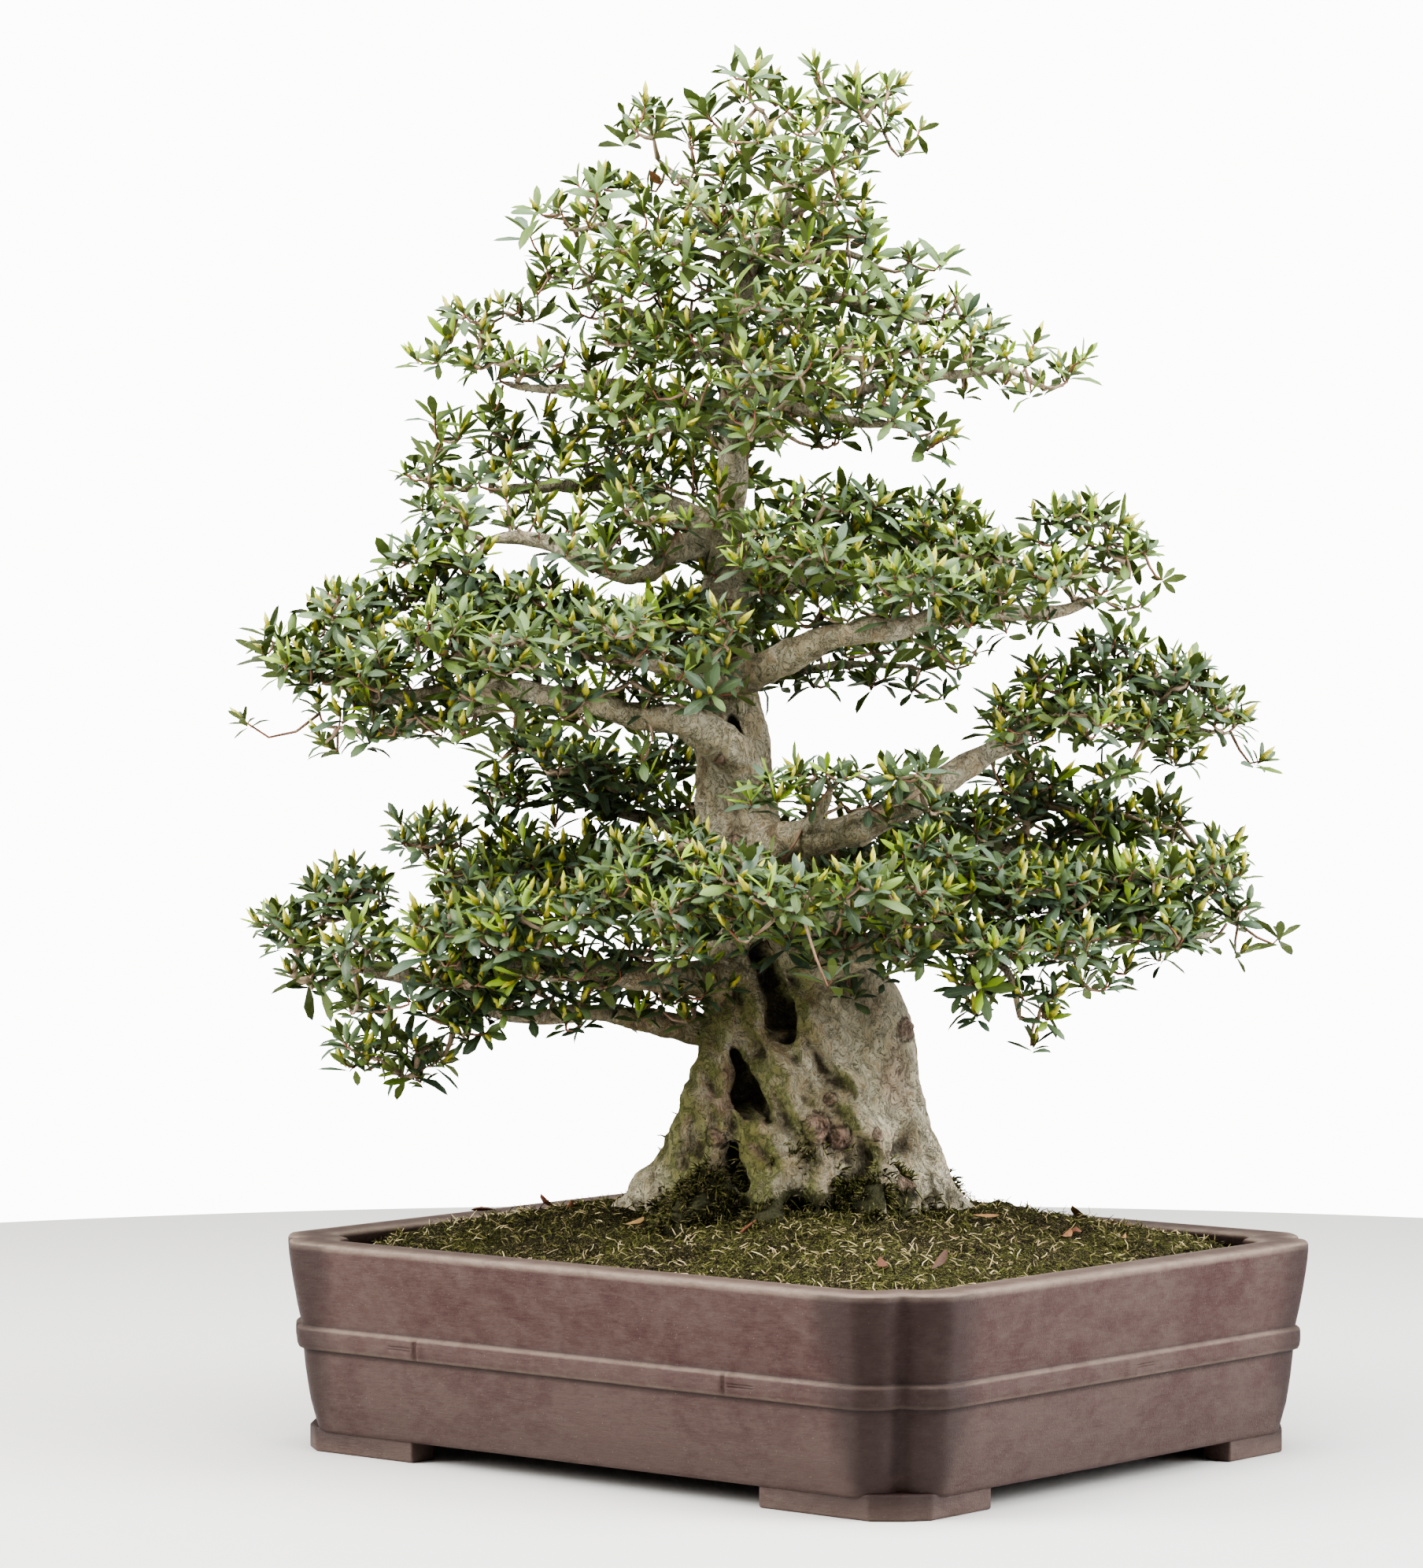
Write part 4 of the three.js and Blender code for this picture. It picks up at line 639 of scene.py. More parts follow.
def many_tubes(paths, radii, sides):
    """Points and faces of many tubes at once. Paths are tubes by rings by three, radii tubes by
    rings. Each tube is closed by a point at its far end and by a face at its near end."""
    paths = np.asarray(paths, float)
    tubes, rings = paths.shape[:2]
    tangent = unit(np.gradient(paths, axis=1))
    chord = unit(paths[:, -1] - paths[:, 0])
    helper = np.where(np.abs(chord[:, 2:3]) < 0.85, (0.1, 0.2, 1.0), (1.0, 0.2, 0.1))
    side = unit(np.cross(tangent, helper[:, None, :]))
    other = np.cross(tangent, side)
    turn = 2 * np.pi * np.arange(sides) / sides
    ring = (np.cos(turn)[:, None] * side[:, :, None, :] + np.sin(turn)[:, None] * other[:, :, None, :])
    points = paths[:, :, None, :] + ring * np.asarray(radii)[:, :, None, None]
    tip = paths[:, -1] + tangent[:, -1] * np.asarray(radii)[:, -1:]
    per_tube = rings * sides + 1
    points = np.concatenate([points.reshape(tubes, -1, 3), tip[:, None, :]], axis=1).reshape(-1, 3)
    here = np.arange(sides)
    after = (here + 1) % sides
    quads = np.vstack([np.stack([k * sides + here, k * sides + after, (k + 1) * sides + after,
                                 (k + 1) * sides + here], axis=1) for k in range(rings - 1)])
    top = (rings - 1) * sides
    tips = np.stack([top + here, top + after, np.full(sides, rings * sides)], axis=1)
    starts = np.arange(tubes) * per_tube
    faces = (starts[:, None, None] + quads).reshape(-1, 4).tolist()
    faces += (starts[:, None, None] + tips).reshape(-1, 3).tolist()
    faces += (starts[:, None] + here[::-1]).tolist()
    return points, faces


# ------------------------ materials


class Paint:
    """A Principled material and short ways to add the nodes that colour it."""

    def __init__(self, name, roughness, specular=0.5):
        self.material = bpy.data.materials.new(name)
        self.material.use_nodes = True
        self.tree = self.material.node_tree
        self.surface = self.tree.nodes["Principled BSDF"]
        self.surface.inputs["Roughness"].default_value = roughness
        self.surface.inputs["Specular IOR Level"].default_value = specular
        self.place = self.node("TexCoord").outputs["Object"]

    def node(self, kind, **inputs):
        """A new shader node, with each input fed a value or linked to a socket."""
        made = self.tree.nodes.new("ShaderNode" + kind)
        for key, value in inputs.items():
            self.feed(made.inputs[key], value)
        return made

    def feed(self, socket, value):
        if isinstance(value, bpy.types.NodeSocket):
            self.tree.links.new(value, socket)
        elif socket.type == "RGBA" and len(value) == 3:
            socket.default_value = (*value, 1)
        else:
            socket.default_value = value

    def noise(self, size, detail=3.0, rough=0.55, twist=0.0, stretch=(1, 1, 1)):
        """Noise from 0 to 1 with lumps of about this size in metres."""
        place = self.node("Mapping", Vector=self.place, Scale=stretch).outputs["Vector"]
        made = self.node("TexNoise", Vector=place, Scale=1 / size, Detail=detail,
                         Roughness=rough, Distortion=twist)
        return made.outputs["Fac"]

    def cells(self, size):
        """How far each place is from the nearest of many scattered points, as a share of size."""
        made = self.node("TexVoronoi", Vector=self.place, Scale=1 / size)
        return made.outputs["Distance"]

    def value(self, attribute):
        """What set_points has written at each point under this name."""
        made = self.node("Attribute")
        made.attribute_name = attribute
        return made.outputs["Fac"]

    def steps(self, amount, *stops):
        """A value or colour that changes with amount. Each stop is a place and a value or colour."""
        made = self.node("ValToRGB", Fac=amount)
        ramp = made.color_ramp
        while len(ramp.elements) < len(stops):
            ramp.elements.new(0.5)
        for element, (place, value) in zip(ramp.elements, stops):
            element.position = place
            element.color = (value, value, value, 1) if isinstance(value, float) else (*value, 1)
        return made.outputs["Color"]

    def between(self, low, high, amount, *shares):
        """A colour from low to high, where amount times its shares goes from 0 to 1."""
        for share in shares:
            amount = self.times(amount, share)
        made = self.node("Mix")
        made.data_type = "RGBA"
        for place, value in ((0, amount), (6, low), (7, high)):
            self.feed(made.inputs[place], value)
        return made.outputs[2]

    def reckon(self, how, first, second):
        made = self.node("Math")
        made.operation = how
        self.feed(made.inputs[0], first)
        self.feed(made.inputs[1], second)
        return made.outputs[0]

    def sum(self, first, second):
        return self.reckon("ADD", first, second)

    def times(self, first, second):
        return self.reckon("MULTIPLY", first, second)

    def colour(self, value):
        self.feed(self.surface.inputs["Base Color"], value)

    def roughness(self, value):
        self.feed(self.surface.inputs["Roughness"], value)

    def bump(self, height, depth):
        """Relief of this depth in metres where height goes from 0 to 1."""
        made = self.node("Bump", Height=height, Distance=depth)
        self.tree.links.new(made.outputs["Normal"], self.surface.inputs["Normal"])


# ------------------------ settings


def colour(name, description, red, green, blue):
    return bpy.props.FloatVectorProperty(name=name, description=description, subtype="COLOR", size=3,
                                         min=0, max=1, default=paint(red, green, blue))


def amount(name, description, default, unit="NONE", **limits):
    return bpy.props.FloatProperty(name=name, description=description, default=default, min=0,
                                   unit=unit, **limits)


def length(name, description, default):
    return amount(name, description, default, "LENGTH", max=1, precision=4)


class PotLook(bpy.types.PropertyGroup):
    clay: colour("Clay", "Bare fired clay", 50, 23, 21)
    bloom: colour("Bloom", "Pale bloom that years of watering leave", 72, 57, 53)
    # Rim: pale clay for wear on the rim and edges, specks and streaks, and for painted highlights along
    # the rim's outer edge and the band's edges
    rim: colour("Rim", "Worn clay on the rim and on edges", 118, 104, 93)
    # Shade: painted shade, laid under the band, inside the pot, on the rim's top, on the cut corners and
    # towards the foot
    shade: colour("Shade", "Clay darkened in the creases", 26, 15, 14)
    wave: length("Wave", "Unevenness of the hand-pressed walls", 0.0004)
    screen: colour("Drain screen", "Plastic mesh over the drain holes", 28, 32, 34)
    scuffed: colour("Scuffed screen", "Worn places on the drain screens", 46, 50, 52)


class SoilLook(bpy.types.PropertyGroup):
    humus: colour("Humus", "Damp soil between the mosses", 17, 12, 8)
    olive: colour("Olive moss", "Moss in its shade", 50, 52, 23)
    green: colour("Green moss", "Fresh moss", 92, 96, 42)
    straw: colour("Straw moss", "Dry ends of the moss", 206, 184, 142)
    bleached: colour("Bleached moss", "Palest strands of the moss", 206, 196, 156)
    strands: bpy.props.IntProperty(name="Strands", description="Number of moss strands on the soil",
                                   default=7150, min=0)
    strand: length("Strand", "Length of a moss strand", 0.0078)
    strand_radius: length("Strand radius", "Radius of a moss strand at its foot", 0.00049)


class TrunkLook(bpy.types.PropertyGroup):
    bark: colour("Bark", "Smooth old bark", 186, 171, 140)
    pale: colour("Pale bark", "Bark where flakes came off", 222, 212, 188)
    flakes: colour("Flakes", "Rough flakes of bark", 128, 106, 80)
    # Dark: the bark's own dark in cracks and round knots, and painted shade in the sunken parts of the
    # wood
    dark: colour("Dark", "Bark in cracks, in grooves and round knots", 44, 32, 22)
    algae: colour("Algae", "Green film on the shaded flank", 104, 113, 48)
    blush: colour("Blush", "Pinkish bark on knots and young roots", 150, 116, 106)
    scurf: colour("Scurf", "Brown crust between the flakes", 104, 86, 60)
    weathered: colour("Weathered wood", "Wood worn smooth and grey", 208, 200, 176)
    cushion: colour("Moss", "Light side of the moss on the foot", 66, 68, 26)
    cushion_shade: colour("Moss in shade", "Dark side of the moss on the foot", 20, 21, 9)
    # Inside: near-black in the hollows, partly the wood's own colour and partly painted shade
    inside: colour("Inside", "Wood inside the hollows", 22, 16, 11)
    grain_size: length("Grain", "Size of the grid that the wood is fused on", 0.00235)


class LeafLook(bpy.types.PropertyGroup):
    leaf: length("Leaf length", "Length of a grown leaf", 0.0205)
    leaf_width: length("Leaf width", "Width of a grown leaf", 0.0063)
    bud_length: length("Bud length", "Length of a flower bud", 0.0172)
    spacing: length("Spacing", "Distance between shoot tips", 0.0143)
    old: colour("Old leaf", "Upper side of a grown leaf", 46, 62, 31)
    old_grey: colour("Grey leaf", "Bloom on a grown leaf", 80, 99, 80)
    young: colour("Young leaf", "Upper side of a new leaf", 140, 168, 46)
    young_foot: colour("Foot of a young leaf", "New leaf next to its twig", 140, 168, 54)
    rib: colour("Rib", "Rib of a leaf", 118, 136, 84)
    under: colour("Underside", "Underside of a leaf", 86, 100, 48)
    bud_scale: colour("Bud scale", "Brown scales at a bud's foot", 110, 80, 42)
    bud_flank: colour("Bud flank", "Lower part of a flower bud", 112, 112, 50)
    bud: colour("Bud", "Flower bud", 184, 176, 54)
    bud_tip: colour("Bud tip", "Tip of a flower bud", 150, 164, 58)
    shoot: colour("Shoot", "Young red-brown twig", 124, 70, 48)
    twig: colour("Twig", "Older grey-brown twig", 164, 144, 120)
    twig_scale: colour("Twig scale", "Brown scales on a twig", 96, 78, 62)
    dry: colour("Dry leaf", "Withered leaf", 122, 70, 42)
    dry_dark: colour("Dark dry leaf", "Leaf that fell long ago", 74, 46, 28)
    dry_pale: colour("Pale dry leaf", "Leaf that has bleached", 168, 134, 86)
    dry_spots: colour("Spots", "Spots on a dry leaf", 62, 40, 26)


class StageLook(bpy.types.PropertyGroup):
    floor: colour("Floor", "Plain pale floor", 208, 207, 204)
    wall: colour("Wall", "Plain pale wall behind", 243, 243, 242)
    key: amount("Key light", "Power of the light on the left", 135, "POWER")
    fill: amount("Fill light", "Power of the light on the right", 135, "POWER")
    top: amount("Top light", "Power of the light overhead", 64, "POWER")
    sky: amount("Sky", "Strength of the soft light from above", 1.25)
    backdrop: amount("Backdrop", "Brightness of the wall behind", 7)


# ------------------------ pot and drain screens


def half_sizes(inset):
    """Half the pot's length and depth at this inset from its rim, and what a corner's cut takes off."""
    return POT_LENGTH / 2 - inset, POT_DEPTH / 2 - inset, CUT - 0.4 * inset


def quarter_outline(inset):
    """A quarter of the pot's outline, dense, from the middle of a long side round a cut corner to
    the middle of a short side. The cut is two rounded lobes with a crease between them."""
    hx, hy, cut = half_sizes(inset)
    across = np.linspace(-1, 1, 90)
    half = cut * math.sqrt(0.5)
    relief = LOBE * (1 - across**2) - (CREASE + LOBE) * hump(across * half, CREASE_WIDTH)
    face = np.array([hx - cut, hy]) + (across[:, None] + 1) / 2 * np.array([cut, -cut])
    face = face + relief[:, None] * math.sqrt(0.5)
    path = np.vstack([[[0, hy]], face, [[hx, 0]]])
    path = evenly(path, int(steps_of(path).sum() / 0.8))
    rounding = np.ones(9) / 9
    for _ in range(2):
        padded = np.vstack([np.repeat(path[:1], 4, axis=0), path, np.repeat(path[-1:], 4, axis=0)])
        path = np.stack([np.convolve(padded[:, k], rounding, "valid") for k in range(2)], axis=1)
    path[0], path[-1] = (0, hy), (hx, 0)
    return path


def quarter_stations(inset):
    """Where the points of a quarter of the outline lie along it, close together at the joints."""
    hx, hy, cut = half_sizes(inset)
    diagonal = cut * math.sqrt(2) + 3
    begin, end = hx - cut - 10, hx - cut + diagonal + 10
    whole = hx - cut + diagonal + hy - cut - 2
    return np.concatenate([
        np.linspace(0, JOINT_X - 8, 9, endpoint=False),
        np.linspace(JOINT_X - 8, JOINT_X + 28, 31, endpoint=False),
        np.linspace(JOINT_X + 28, begin, 5, endpoint=False),
        np.linspace(begin, end, 28, endpoint=False),
        np.linspace(end, whole - 27, 7, endpoint=False),
        np.linspace(whole - 27, whole, 23),
    ])


def pot_outline(inset, height, share=1.0):
    """One level of the pot, counterclockwise from the middle of its +X side."""
    quarter = at_lengths(quarter_outline(inset), quarter_stations(inset)) * share
    back = quarter[::-1]
    flat = np.vstack([back[:-1], (quarter * (-1, 1))[:-1], -back[:-1], (quarter * (1, -1))[:-1]])
    return np.column_stack([flat, np.full(len(flat), height)])


def on_long_side(points):
    """Which points of the pot belong to one of its long sides."""
    return POT_DEPTH / 2 - np.abs(points[:, 1]) < POT_LENGTH / 2 - np.abs(points[:, 0])


def facing(points):
    """The way that the wall faces at each point of the pot's outside, cut corners left out."""
    x, y = points[:, 0], points[:, 1]
    still = np.zeros(len(points))
    on_long = on_long_side(points)
    return np.stack([np.where(on_long, still, np.sign(x)), np.where(on_long, np.sign(y), still), still],
                    axis=1)


def joint_relief(points):
    """How far the wall stands out beside the bamboo-like joints of its band, at each point."""
    x, y, z = points.T
    on_long = on_long_side(points)
    along = np.where(on_long, np.abs(x) - JOINT_X, y * np.sign(x))
    band = ease(z, 69.2, 70.4) * (1 - ease(z, 82.8, 84))
    swell = 1.1 * hump(np.abs(along) - 3.4, 4.2) - 1.9 * hump(along, 0.95)
    dash = ease(along, 3, 5) * (1 - ease(along, 22, 25))
    lines = hump(z - 77.4, 0.3) + hump(z - 75.7, 0.3)
    return band * swell - 0.9 * dash * lines


def pot_skin(look):
    """The pot's walls, rim, lip, hollow and floor as one skin, from below up and down inside."""
    levels = [pot_outline(FOOT_INSET, FOOT_HEIGHT, share) for share in (0.12, 0.4, 0.66, 0.9)]
    wall = list(WALL)
    # more levels in the band, for its cut marks, and then in the walls, for their waves
    wall += [(z, 4.5) for z in (74.9, 75.35, 75.7, 76.05, 76.9, 77.1, 77.4, 77.7, 78.1, 79)]
    wall += [(z, float(np.interp(z, *zip(*WALL)))) for z in np.arange(18, 138, 4.3)
             if not 68 < z < 86]
    for z, inset in sorted(wall):
        ring = pot_outline(inset, z)
        levels.append(ring + facing(ring) * joint_relief(ring)[:, None])
    levels += [pot_outline(inset, z) for z, inset in RIM_OUTER_EDGE]
    levels += [pot_outline(inset, POT_HEIGHT - RIM_CROWN * ((inset - 14) / 16) ** 2)
               for inset in (3.5, 7, 11, 15, 19, 23, 26.5)]
    levels += [pot_outline(inset, z) for z, inset in
               ((139.2, 28.8), (138.4, 29.8), (137, 30.3), (133, 30.3), (131.4, 29.8), (131, 28.6))]
    levels += [pot_outline(inset, z) for z, inset in HOLLOW]
    levels += [pot_outline(29, 26, share) for share in (0.9, 0.66, 0.4, 0.12)]
    points, faces = skin(levels)
    flat = points * (1, 1, 0.6)
    shift = look.wave / MM * (grain(flat, 70, 3) + 0.35 * grain(flat, 14, 4))
    outside = ease(points[:, 2], 13.6, 16) * ease(np.abs(points[:, :2]).max(axis=1), 195, 215)
    points[:, :2] -= unit(points[:, :2]) * (np.abs(shift) * outside)[:, None]
    return points, faces


def pot_foot(sx, sy):
    """Points and faces of one L-shaped foot with rounded edges."""
    x, y = POT_LENGTH / 2 - FOOT_INSET, POT_DEPTH / 2 - FOOT_INSET
    reach_x, reach_y, thick, cut = 115, 88, 22, 28
    inner = cut + thick * 0.4
    outline = [(x - reach_x, y), (x - cut, y), (x - cut * 0.42, y - cut * 0.42), (x, y - cut),
               (x, y - reach_y), (x - thick, y - reach_y), (x - thick, y - inner),
               (x - inner, y - thick), (x - reach_x, y - thick)]
    mesh = bmesh.new()
    low = [mesh.verts.new((sx * px, sy * py, 0)) for px, py in outline]
    face = mesh.faces.new(low)
    top = bmesh.ops.extrude_face_region(mesh, geom=[face])["geom"]
    bmesh.ops.translate(mesh, vec=(0, 0, FOOT_HEIGHT + 3),
                        verts=[v for v in top if isinstance(v, bmesh.types.BMVert)])
    bmesh.ops.recalc_face_normals(mesh, faces=mesh.faces)
    bmesh.ops.bevel(mesh, geom=mesh.edges[:], offset=1.8, segments=3, profile=0.5, affect="EDGES")
    return from_bmesh(mesh)


def clay_paint(look):
    clay = Paint("Unglazed clay", 0.62, 0.22)
    clouds = clay.noise(0.06, 5, 0.62, 0.6)
    blotch = clay.noise(0.014, 6, 0.75, 0.3, (1, 1, 1.8))
    brushed = clay.noise(0.011, 4, 0.75, 0.2, (1, 1, 7))
    sand = clay.noise(0.0012, 2, 0.6)
    old = clay.sum(clay.times(clay.steps(clouds, (0.36, 0.0), (0.62, 1.0)), 0.6),
                   clay.times(clay.steps(blotch, (0.4, 0.0), (0.62, 1.0)), 0.45))
    low = clay.value("low")
    bloomed = clay.steps(clay.sum(old, clay.times(low, 0.4)), (0.1, 0.0), (1.0, 1.0))
    body = clay.between(look.clay, look.bloom, bloomed)
    streaks = clay.steps(brushed, (0.35, 0.0), (0.5, 0.35), (0.72, 0.9))
    body = clay.between(body, clay.between(look.clay, look.rim, 0.55), streaks, 0.22)
    # painted shade, darker towards the foot
    body = clay.between(body, look.shade, low, 0.2)
    # painted shade under the band's ledges, inside the pot and on the rim's top
    body = clay.between(body, look.shade, clay.value("crease"), 0.75)
    # wear, and painted highlights along the rim's outer edge and the band's edges
    rubbed_and_highlit = clay.steps(blotch, (0.25, 0.45), (0.6, 1.0))
    body = clay.between(body, look.rim, clay.value("worn"), rubbed_and_highlit)
    specks = clay.steps(clay.cells(0.0045), (0.05, 1.0), (0.09, 0.0))
    body = clay.between(body, look.rim, specks, 0.5)
    # painted shade on the cut corners
    clay.colour(clay.between(body, look.shade, clay.value("corner"), 0.6))
    clay.roughness(clay.steps(clouds, (0.3, 0.52), (0.7, 0.74)))
    height = clay.sum(clay.times(sand, 0.5), clay.sum(brushed, clay.times(blotch, 0.8)))
    clay.bump(height, 0.0005)
    return clay.material


def build_pot(look):
    feet = [pot_foot(sx, sy) for sx, sy in ((1, 1), (-1, 1), (-1, -1), (1, -1))]
    points, faces = joined([pot_skin(look), *feet])
    pot = new_piece("clay_pot", to_metres(points), faces)
    height = points[:, 2]
    reach = np.maximum(np.abs(points[:, 0]) / POT_LENGTH, np.abs(points[:, 1]) / POT_DEPTH) * 2
    outside = ease(reach, 0.86, 0.9)
    # Worn: wear on the edges, with painted highlights along the band's edges and the rim's outer edge
    ledges = hump(height - 83.3, 0.9) + 0.55 * hump(height - 69.9, 0.7) + hump(height - 138.9, 1.1)
    rim_top = ease(height, 139.0, 139.8)
    edges = hump(height - 139.4, 0.9) + 0.2 * rim_top + 0.22 * (1 - ease(height, 12.6, 13.6))
    set_points(pot, "worn", np.clip(ledges * outside * 0.8 + edges, 0, 1))
    # Crease: painted shade under the band's ledges, on the inside of the pot and on the rim's top
    under = 1.2 * hump(height - 68.4, 1.1) + 0.6 * hump(height - 85, 1.0)
    inside = (1 - outside) * (height > 27) * (height < 138)
    set_points(pot, "crease", np.clip(under * outside + inside * 0.7 + 0.6 * rim_top, 0, 1))
    # Low is 1 at the foot: more bloom there, and painted shade towards the foot
    set_points(pot, "low", 1 - ease(height, 14, 110))
    # Corner: painted shade on the lobes of the cut corners
    beside = POT_LENGTH / 2 + POT_DEPTH / 2 - CUT - np.abs(points[:, 0]) - np.abs(points[:, 1])
    set_points(pot, "corner", (1 - ease(beside, 22, 38)) * ease(height, 13.4, 14) * (1 - rim_top))
    drill_drains(pot)
    coat(pot, clay_paint(look))
    seat(pot, "clay", "pot")


def drill_drains(pot):
    """Cuts the drain holes through the floor of the pot."""
    for side in (-1, 1):
        bpy.ops.mesh.primitive_cylinder_add(vertices=40, radius=DRAIN_RADIUS * MM, depth=0.05)
        drill = bpy.context.object
        drill.location = to_metres([(side * DRAIN_X, 0, 20)])[0]
        bpy.context.view_layer.update()
        apply_modifier(pot, "BOOLEAN", operation="DIFFERENCE", solver="EXACT", object=drill)
        bpy.data.objects.remove(drill)


def build_screens(look):
    mesh = Paint("Drain screen plastic", 0.55)
    mesh.colour(mesh.steps(mesh.noise(0.004, 3), (0.3, look.screen), (0.7, look.scuffed)))
    mesh.bump(mesh.noise(0.0008, 2), 0.0002)
    for node in ("drain_screen_left", "drain_screen_right"):
        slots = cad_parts[node].data.materials
        slots.clear()
        slots.append(mesh.material)


# ------------------------ soil, moss and litter


def soil_share(x, y):
    """How far out a point is on the soil: 0 at its middle and 1 at the lip."""
    hx, hy, cut = half_sizes(LIP)
    x, y = np.abs(x), np.abs(y)
    corner = (x + y) / (hx + hy - cut)
    return np.maximum(np.maximum(x / hx, y / hy), corner)


def soil_height(x, y):
    """The moss-covered surface of the soil, in millimetres."""
    share = soil_share(x, y)
    places, heights = zip(*SOIL_SLOPE)
    height = np.interp(share, places, heights)
    flat = np.column_stack([x, y, np.zeros_like(x)])
    lumps = 2.4 * grain(flat, 34, 11) + 2.6 * grain(flat, 13, 12)
    curls = 1.5 * (1 - np.abs(grain(flat, 5.5, 13))) + 1.0 * (1 - np.abs(grain(flat, 3.6, 14)))
    inner = 1 - ease(share, 0.93, 1.0)
    return height + (lumps + curls - 1.2) * (0.25 + 0.75 * inner)


def soil_paint(look):
    cover = Paint("Soil under moss", 0.95, 0.08)
    curls = cover.noise(0.0042, 5, 0.7, 2.2)
    patches = cover.noise(0.045, 3, 0.6, 0.5)
    body = cover.steps(curls, (0.42, look.humus), (0.5, look.olive), (0.6, look.green),
                       (0.72, look.straw))
    dry = cover.steps(patches, (0.42, 0.0), (0.62, 1.0))
    dull = cover.steps(curls, (0.44, look.humus), (0.56, look.olive), (0.74, look.straw))
    body = cover.between(body, dull, dry)
    threads = cover.noise(0.0016, 3, 0.7, 3.0)
    body = cover.between(body, look.humus, cover.steps(threads, (0.36, 0.85), (0.46, 0.0)))
    cover.colour(cover.between(body, look.straw, cover.steps(threads, (0.58, 0.0), (0.68, 0.7))))
    cover.bump(cover.sum(curls, cover.times(threads, 0.6)), 0.004)
    return cover.material


def build_soil(look):
    outline = pot_outline(LIP + 0.7, 0)
    outline = evenly(np.vstack([outline, outline[:1]]), 361)[:-1]
    rings = [outline * (1, 1, 0) + (0, 0, z) for z in (SOIL_FLOOR, 70, 110)]
    for share in np.concatenate([[1.0], np.linspace(0.992, 0.03, 62)]):
        ring = outline * share
        ring[:, 2] = soil_height(ring[:, 0], ring[:, 1])
        rings.append(ring)
    points, faces = skin(rings)
    soil = new_piece("mossy_soil", to_metres(points), faces)
    coat(soil, soil_paint(look))
    seat(soil, "soil", "soil")


def curly_strands(feet, lengths, radii, rise, chance):
    """Moss strands that stand on their feet and curl over, in the pot's frame."""
    count, rings = len(feet), 3
    heading = chance.uniform(0, 2 * np.pi, count)
    swing = chance.normal(0, 1.6, count)
    lean = chance.normal(rise, 0.35, count)
    droop = chance.uniform(-1.6, 0.2, count)
    step = (lengths / (rings - 1))[:, None]
    t = np.linspace(0, 1, rings)[None, :]
    turn = heading[:, None] + swing[:, None] * t
    pitch = lean[:, None] + droop[:, None] * t
    moves = np.stack([np.cos(pitch) * np.cos(turn), np.cos(pitch) * np.sin(turn), np.sin(pitch)], -1)
    paths = feet[:, None, :] + np.concatenate(
        [np.zeros((count, 1, 3)), np.cumsum(moves[:, :-1] * step[:, :, None], axis=1)], axis=1)
    thick = radii[:, None] * (1 - 0.6 * t)
    return many_tubes(paths, thick, 3)


def moss_paint(look):
    moss = Paint("Moss", 0.85, 0.2)
    tint = moss.value("tint")
    body = moss.steps(tint, (0.0, look.humus), (0.14, look.olive), (0.5, look.green),
                      (0.8, look.straw), (1.0, look.bleached))
    dried = moss.steps(moss.noise(0.003), (0.5, 0.0), (0.8, 0.5))
    moss.colour(moss.between(body, look.straw, dried))
    moss.bump(moss.noise(0.0009, 2), 0.0003)
    return moss.material


def moss_piece(name, strands, turn, tint, material, *nodes):
    """A seated piece of moss strands, with one tint for each strand."""
    points, faces = strands
    moss = new_piece(name, to_metres(points, turn), faces)
    set_points(moss, "tint", np.repeat(np.clip(tint, 0, 1), len(points) // len(tint)))
    coat(moss, material)
    seat(moss, "soil", *nodes)


def build_moss(look):
    """Strands of moss over the whole of the soil, apart from where the trunk stands."""
    chance = np.random.default_rng(2417)
    material = moss_paint(look)
    hx, hy = POT_LENGTH / 2 - LIP - 1, POT_DEPTH / 2 - LIP - 1
    half = look.strands // 2
    for part, name in enumerate(("moss_strands_low", "moss_strands_high")):
        x, y = chance.uniform(-hx, hx, half * 2), chance.uniform(-hy, hy, half * 2)
        keep = (soil_share(x, y) < 0.985) & (np.hypot(x, y) > 70)
        x, y = x[keep][:half], y[keep][:half]
        feet = np.column_stack([x, y, soil_height(x, y) - 0.6])
        lengths = look.strand / MM * chance.uniform(0.55, 1.25, len(feet))
        radii = look.strand_radius / MM * chance.uniform(0.75, 1.35, len(feet))
        strands = curly_strands(feet, lengths, radii, 0.25 + 0.35 * part, chance)
        dry = 0.5 + 0.5 * grain(feet, 60, 21)
        tint = chance.normal(0.26 + 0.32 * dry + 0.26 * grain(feet, 11, 23), 0.25)
        moss_piece(name, strands, 0.0, tint, material, "soil")


